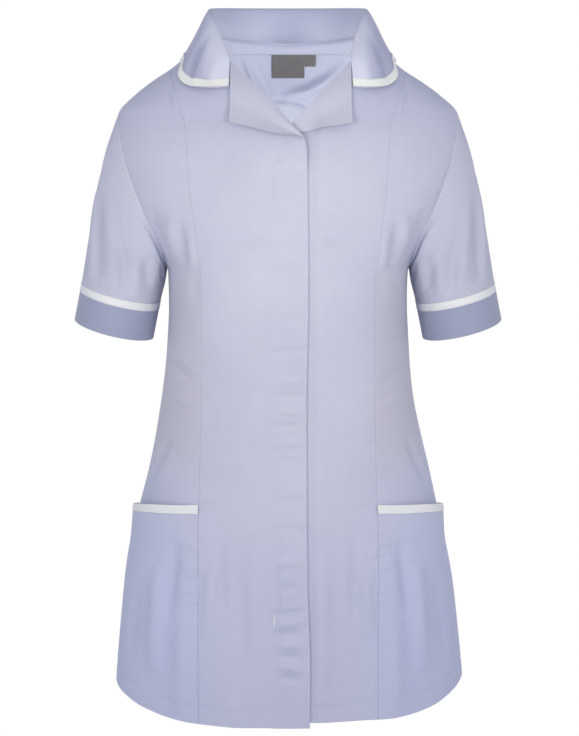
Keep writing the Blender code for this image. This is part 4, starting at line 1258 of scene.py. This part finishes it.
def makeLapel(side, finish):
    start = lapelShape["start"][side]
    x = start + (lapelShape["reach"] - start) * spread(lapelShape["width"])
    top, bottom = rollLine.at("height", x), lapelHem.at(sideNames[side], x)
    shares = spread(lapelShape["fall"])[:, None]
    height = top + (bottom - top) * shares
    x = np.broadcast_to(x, height.shape)
    base = bodyPoint(angleAtX(x, height), height)
    rise = lapelShape["spring"] * np.sin(np.pi * np.minimum(shares * lapelShape["springEnd"], 1.0))
    rise = rise + lapelShape["edgeRise"] * shares**3
    if side > 0:
        rise = rise * smooth(x, *lapelShape["leftFade"])
    lift = lapLift(base, side) + lapelShape["clear"] * (1 + shares) + rise
    place("lapel" + sideNames[side], base, lift, cloth["doubleWall"], finish, side)


# Neck tape and labels, inside the back neck

neckInside = {"tapeFrom": 96.0, "tapePoints": 50, "tapeHalf": 0.0052, "tapeSag": 0.0006,
              "upperKnots": (0.0, 0.2, 0.7), "lowerKnots": (0.0, 0.3, 0.8), "tapeWall": 0.0010,
              "tapeClear": 0.0007,
              "labelWidth": 0.0392, "labelDrop": 0.0270, "tabWidth": 0.0135, "tabDrop": 0.0135,
              "labelDepth": 0.0012, "labelWall": 0.0010}


def cornerOffset(first, firstReach, second, secondReach):
    cosine = (first * second).sum(-1, keepdims=True)
    share = 1 - cosine * cosine
    return (first * (firstReach - cosine * secondReach)
            + second * (secondReach - cosine * firstReach)) / share


def makeNeckTape(finish):
    angles = np.linspace(neckInside["tapeFrom"], 180, neckInside["tapePoints"])
    seam = bodyPoint(angles, neckHeight(angles))
    lines = collarLines(angles)
    rise = unit(lines[:, 3] - lines[:, 0])
    along = bodyPoint(angles + 1, neckHeight(angles + 1)) - seam
    intoNeck = unit(np.cross(rise, along))
    outwardLevel = (intoNeck * seam * np.array((1.0, 1, 0))).sum(-1)[:, None]
    intoNeck = intoNeck * -np.sign(outwardLevel)
    reach = neckInside["tapeClear"] + neckInside["tapeWall"] / 2
    middle = seam + cornerOffset(-outward(seam), cloth["wall"] + reach, intoNeck,
                                 cloth["doubleWall"] + reach)
    low = bodyPoint(angles, -neckInside["tapeHalf"] - neckInside["tapeSag"])
    low = low - outward(low) * (cloth["wall"] + reach)
    high = middle + rise * neckInside["tapeHalf"]
    knots = [high + (middle - high) * share for share in neckInside["upperKnots"]]
    knots += [middle + (low - middle) * share for share in neckInside["lowerKnots"]] + [low]
    rows = bothSides(np.stack(knots, axis=1)).transpose(1, 0, 2)
    normals = gridNormals(rows)
    half = neckInside["tapeWall"] / 2
    makeWall("neckTape", rows, normals, -half, half, finish)


def makeLabel(name, left, right, drop, finish):
    top = float(neckHeight(180)) - neckInside["tapeHalf"] - cloth["gap"]
    x = left + (right - left) * spread(right - left)
    rows = onBody(x[None, :], top - drop * spread(drop)[:, None], back=True)
    rows = rows - outward(rows) * (cloth["wall"] + neckInside["labelDepth"])
    half = neckInside["labelWall"] / 2
    makeWall(name, rows, gridNormals(rows), -half, half, finish, "label_satin")


# Sewing, laid along the edges of the finished pieces

stitch = {"pitch": 0.0030, "length": 0.0022, "width": 0.00042, "proud": 0.00004,
          "threadWidth": 0.0005, "tapeEdge": 0.0016, "zigzagPitch": 0.0019,
          "zigzagHeight": 0.0011, "zigzagProud": 0.0003, "tabProud": 0.0012,
          "sides": 6, "rings": 4}
tack = {"x": -0.0152, "top": -0.6425, "bottom": -0.6545, "width": 0.0013, "proud": 0.15,
        "points": 9, "nearest": 4}


def pair(name):
    return tuple(name + sideNames[side] for side in (-1, 1))


sewingLines = (          # pieces, edge, distance from it, share of the edge from and to, thread
    (("frontCentreRight",), "bottom", cloth["hemTurn"], 0.0, 1.0, "thread"),
    (("frontCentreLeft",), "bottom", cloth["hemTurn"], 0.30, 1.0, "thread"),
    (pair("pocket") + ("back",), "bottom", cloth["hemTurn"], 0.0, 1.0, "thread"),
    (("frontCentreRight",), "first", 0.0395, 0.15, 0.995, "thread"),
    (("frontCentreRight",), "first", 0.0012, 0.16, 0.999, "thread"),
    (pair("pocket"), "top", 0.0125, 0.0, 1.0, "thread"),
    (pair("pocketTrim"), "bottom", 0.0012, 0.0, 1.0, "trimThread"),
    (pair("cuff"), "bottom", 0.0060, 0.0, 1.0, "cuffThread"),
    # dark stitches on the cuff trim's lower edge: stitching, and a painted shadow line where the trim
    # meets the cuff
    (pair("cuffTrim"), "bottom", 0.0010, 0.0, 1.0, "cuffThread"),
    (("collarTrim",), "last", 0.0012, 0.0, 1.0, "trimThread"),
    # light stitches beside the armhole seam: a painted highlight on the ridge there, drawn as stitches
    (pair("sleeve"), "top", 0.0016, 0.53, 0.80, "trimThread"),
)
threadSlots = {"thread": "tunic_cloth", "trimThread": "white_trim", "cuffThread": "cuff_cloth"}


def edgeLine(name, edge, distance, start=0.0, end=1.0, lift=stitch["proud"]):
    # Points that run along an edge of a piece, at a distance in from it
    outer, normals = grids[name]
    if edge in ("first", "last"):
        outer, normals = outer.swapaxes(0, 1), normals.swapaxes(0, 1)
    if edge in ("bottom", "last"):
        outer, normals = outer[::-1], normals[::-1]
    last = outer.shape[1] - 1
    points = []
    for column in range(int(start * last), int(round(end * last)) + 1):
        lengths = lengthSoFar(outer[:, column], 0)
        at, way = (readAlong(values[:, column], lengths, distance) for values in (outer, normals))
        points.append(at + way * lift)
    if name.startswith("cuff"):
        points.append(points[0])
    return np.array(points)


def curveOf(name, lines):
    data = bpy.data.curves.new(name, "CURVE")
    data.dimensions = "3D"
    for points in lines:
        spline = data.splines.new("POLY")
        spline.points.add(len(points) - 1)
        spline.points.foreach_set("co", np.append(points, np.ones((len(points), 1)), 1).ravel())
    return addObject(name, data)


class SewingTree(Nodes):
    # A Geometry Nodes tree with named inputs
    def __init__(self, name, inputs):
        super().__init__(bpy.data.node_groups.new(name, "GeometryNodeTree"))
        face = self.tree.interface
        for label, kind in (("Geometry", "Geometry"),) + inputs:
            face.new_socket(label, in_out="INPUT", socket_type="NodeSocket" + kind)
        face.new_socket("Geometry", in_out="OUTPUT", socket_type="NodeSocketGeometry")
        self.wanted = self.tree.nodes.new("NodeGroupInput").outputs

    def close(self, geometry):
        solid = self.node("GeometryNodeRealizeInstances", Geometry=geometry)
        dressed = self.node("GeometryNodeSetMaterial", Geometry=solid.outputs[0],
                            Material=self.wanted["Thread"])
        self.node("NodeGroupOutput", Geometry=dressed.outputs[0])
        return self.tree


def stitchTree():
    # Short rounded stitches, one at each pitch along every line
    made = SewingTree("stitchRow", (("Pitch", "Float"), ("Length", "Float"), ("Width", "Float"),
                                    ("Thread", "Material")))
    wanted = made.wanted
    points = made.node("GeometryNodeCurveToPoints", {"mode": "LENGTH"},
                       Curve=wanted["Geometry"], Length=wanted["Pitch"])
    turn = made.node("FunctionNodeAlignRotationToVector", {"axis": "Z"},
                     Vector=points.outputs["Tangent"])
    bead = made.node("GeometryNodeMeshUVSphere", Segments=stitch["sides"], Rings=stitch["rings"],
                     Radius=0.5)
    size = made.node("ShaderNodeCombineXYZ", X=wanted["Width"], Y=wanted["Width"],
                     Z=wanted["Length"])
    row = made.node("GeometryNodeInstanceOnPoints", Points=points.outputs["Points"],
                    Instance=bead.outputs["Mesh"], Rotation=turn.outputs["Rotation"],
                    Scale=size.outputs[0])
    return made.close(row.outputs[0])


def threadTree():
    # One unbroken thread along every line
    made = SewingTree("threadRun", (("Width", "Float"), ("Thread", "Material")))
    half = made.node("ShaderNodeMath", {"operation": "MULTIPLY"})
    made.give(half.inputs[0], made.wanted["Width"])
    made.give(half.inputs[1], 0.5)
    profile = made.node("GeometryNodeCurvePrimitiveCircle", Resolution=stitch["sides"],
                        Radius=half.outputs[0])
    tube = made.node("GeometryNodeCurveToMesh", Curve=made.wanted["Geometry"],
                     Profile_Curve=profile.outputs[0], Fill_Caps=True)
    return made.close(tube.outputs[0])


def sew(name, lines, tree, slot, **values):
    source = curveOf(name + "Line", lines)
    modifier = source.modifiers.new("sewing", "NODES")
    modifier.node_group = tree
    for item in tree.interface.items_tree:
        if item.in_out == "INPUT" and item.name.lower() in values:
            modifier[item.identifier] = values[item.name.lower()]
    ready = source.evaluated_get(bpy.context.evaluated_depsgraph_get())
    data = bpy.data.meshes.new_from_object(ready)
    data.name = name
    made = addObject(name, data)
    bpy.data.objects.remove(source)
    data.shade_smooth()
    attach(made, "root")
    say("%s has %d faces" % (name, len(data.polygons)))


def makeSewing(finishes):
    rows, runs = stitchTree(), threadTree()
    for thread, slot in threadSlots.items():
        lines = [edgeLine(name, edge, distance, start, end)
                 for names, edge, distance, start, end, kind in sewingLines if kind == thread
                 for name in names]
        sew(thread + "Stitches", lines, rows, slot, pitch=stitch["pitch"],
            length=stitch["length"], width=stitch["width"], thread=finishes[thread])
    zigzag = resample(edgeLine("neckTape", "bottom", stitch["tapeEdge"], lift=0.0),
                      stitch["zigzagPitch"])
    offset = np.where(np.arange(len(zigzag)) % 2 == 0, 1, -1) * stitch["zigzagHeight"]
    inside = -unit(zigzag * np.array((1.0, 1.0, 0)))
    zigzag = zigzag + inside * stitch["zigzagProud"] + np.array((0, 0, 1.0)) * offset[:, None]
    sew("tapeZigzag", [zigzag], runs, "white_trim", width=stitch["threadWidth"],
        thread=finishes["trimThread"])
    makeTack(finishes["trimThread"], runs)
    tapePoints, ways = grids["neckTape"]
    middle = tapePoints.shape[1] // 2
    line = tapePoints[3:5, middle] - ways[3:5, middle] * stitch["tabProud"]
    sew("tapeTack", [line], runs, "label_satin", width=stitch["threadWidth"],
        thread=finishes["label"])


def makeTack(finish, tree):
    # The small bar that ends the placket's stitching
    height = np.linspace(tack["top"], tack["bottom"], tack["points"])
    outer, normals = grids["frontCentreRight"]
    places, ways = outer.reshape(-1, 3), normals.reshape(-1, 3)
    line = []
    for level in height:
        away = np.hypot(places[:, 0] - tack["x"], places[:, 2] - level)
        nearest = np.argsort(away)[:tack["nearest"]]
        share = 1 / (away[nearest] + 1e-6)
        at = (places[nearest] * share[:, None]).sum(0) / share.sum()
        at[0], at[2] = tack["x"], level
        line.append(at + ways[nearest[0]] * tack["width"] * tack["proud"])
    sew("tackBar", [np.array(line)], tree, "tunic_cloth", width=tack["width"], thread=finish)


def resample(points, pitch):
    lengths = lengthSoFar(points, 0)
    return readAlong(points, lengths, np.linspace(0, lengths[-1], int(lengths[-1] / pitch) + 1))


makeCamera()
makeLamps()
finishes = makeFinishes()
makeFloor(finishes["floor"])
makeSky()
say("camera, light and finishes are ready")
makeBack(finishes["body"])
for hand in (-1, 1):
    frontCentre(hand, finishes["body"])
    frontSide(hand, finishes["body"])
    makePocket(hand, finishes)
    makeSleeve(hand, finishes["body"])
    makeCuff(hand, finishes)
    makeLapel(hand, finishes["lapel"])
say("panels, pockets, sleeves, cuffs and lapels are made")
makeCollar(finishes)
makeNeckTape(finishes["body"])
halfLabel = neckInside["labelWidth"] / 2
makeLabel("label", -halfLabel, halfLabel, neckInside["labelDrop"], finishes["label"])
makeLabel("sizeTab", halfLabel + cloth["gap"], halfLabel + neckInside["tabWidth"],
          neckInside["tabDrop"], finishes["label"])
say("collar, neck tape and labels are made")
makeSewing(finishes)
say("sewing is done")
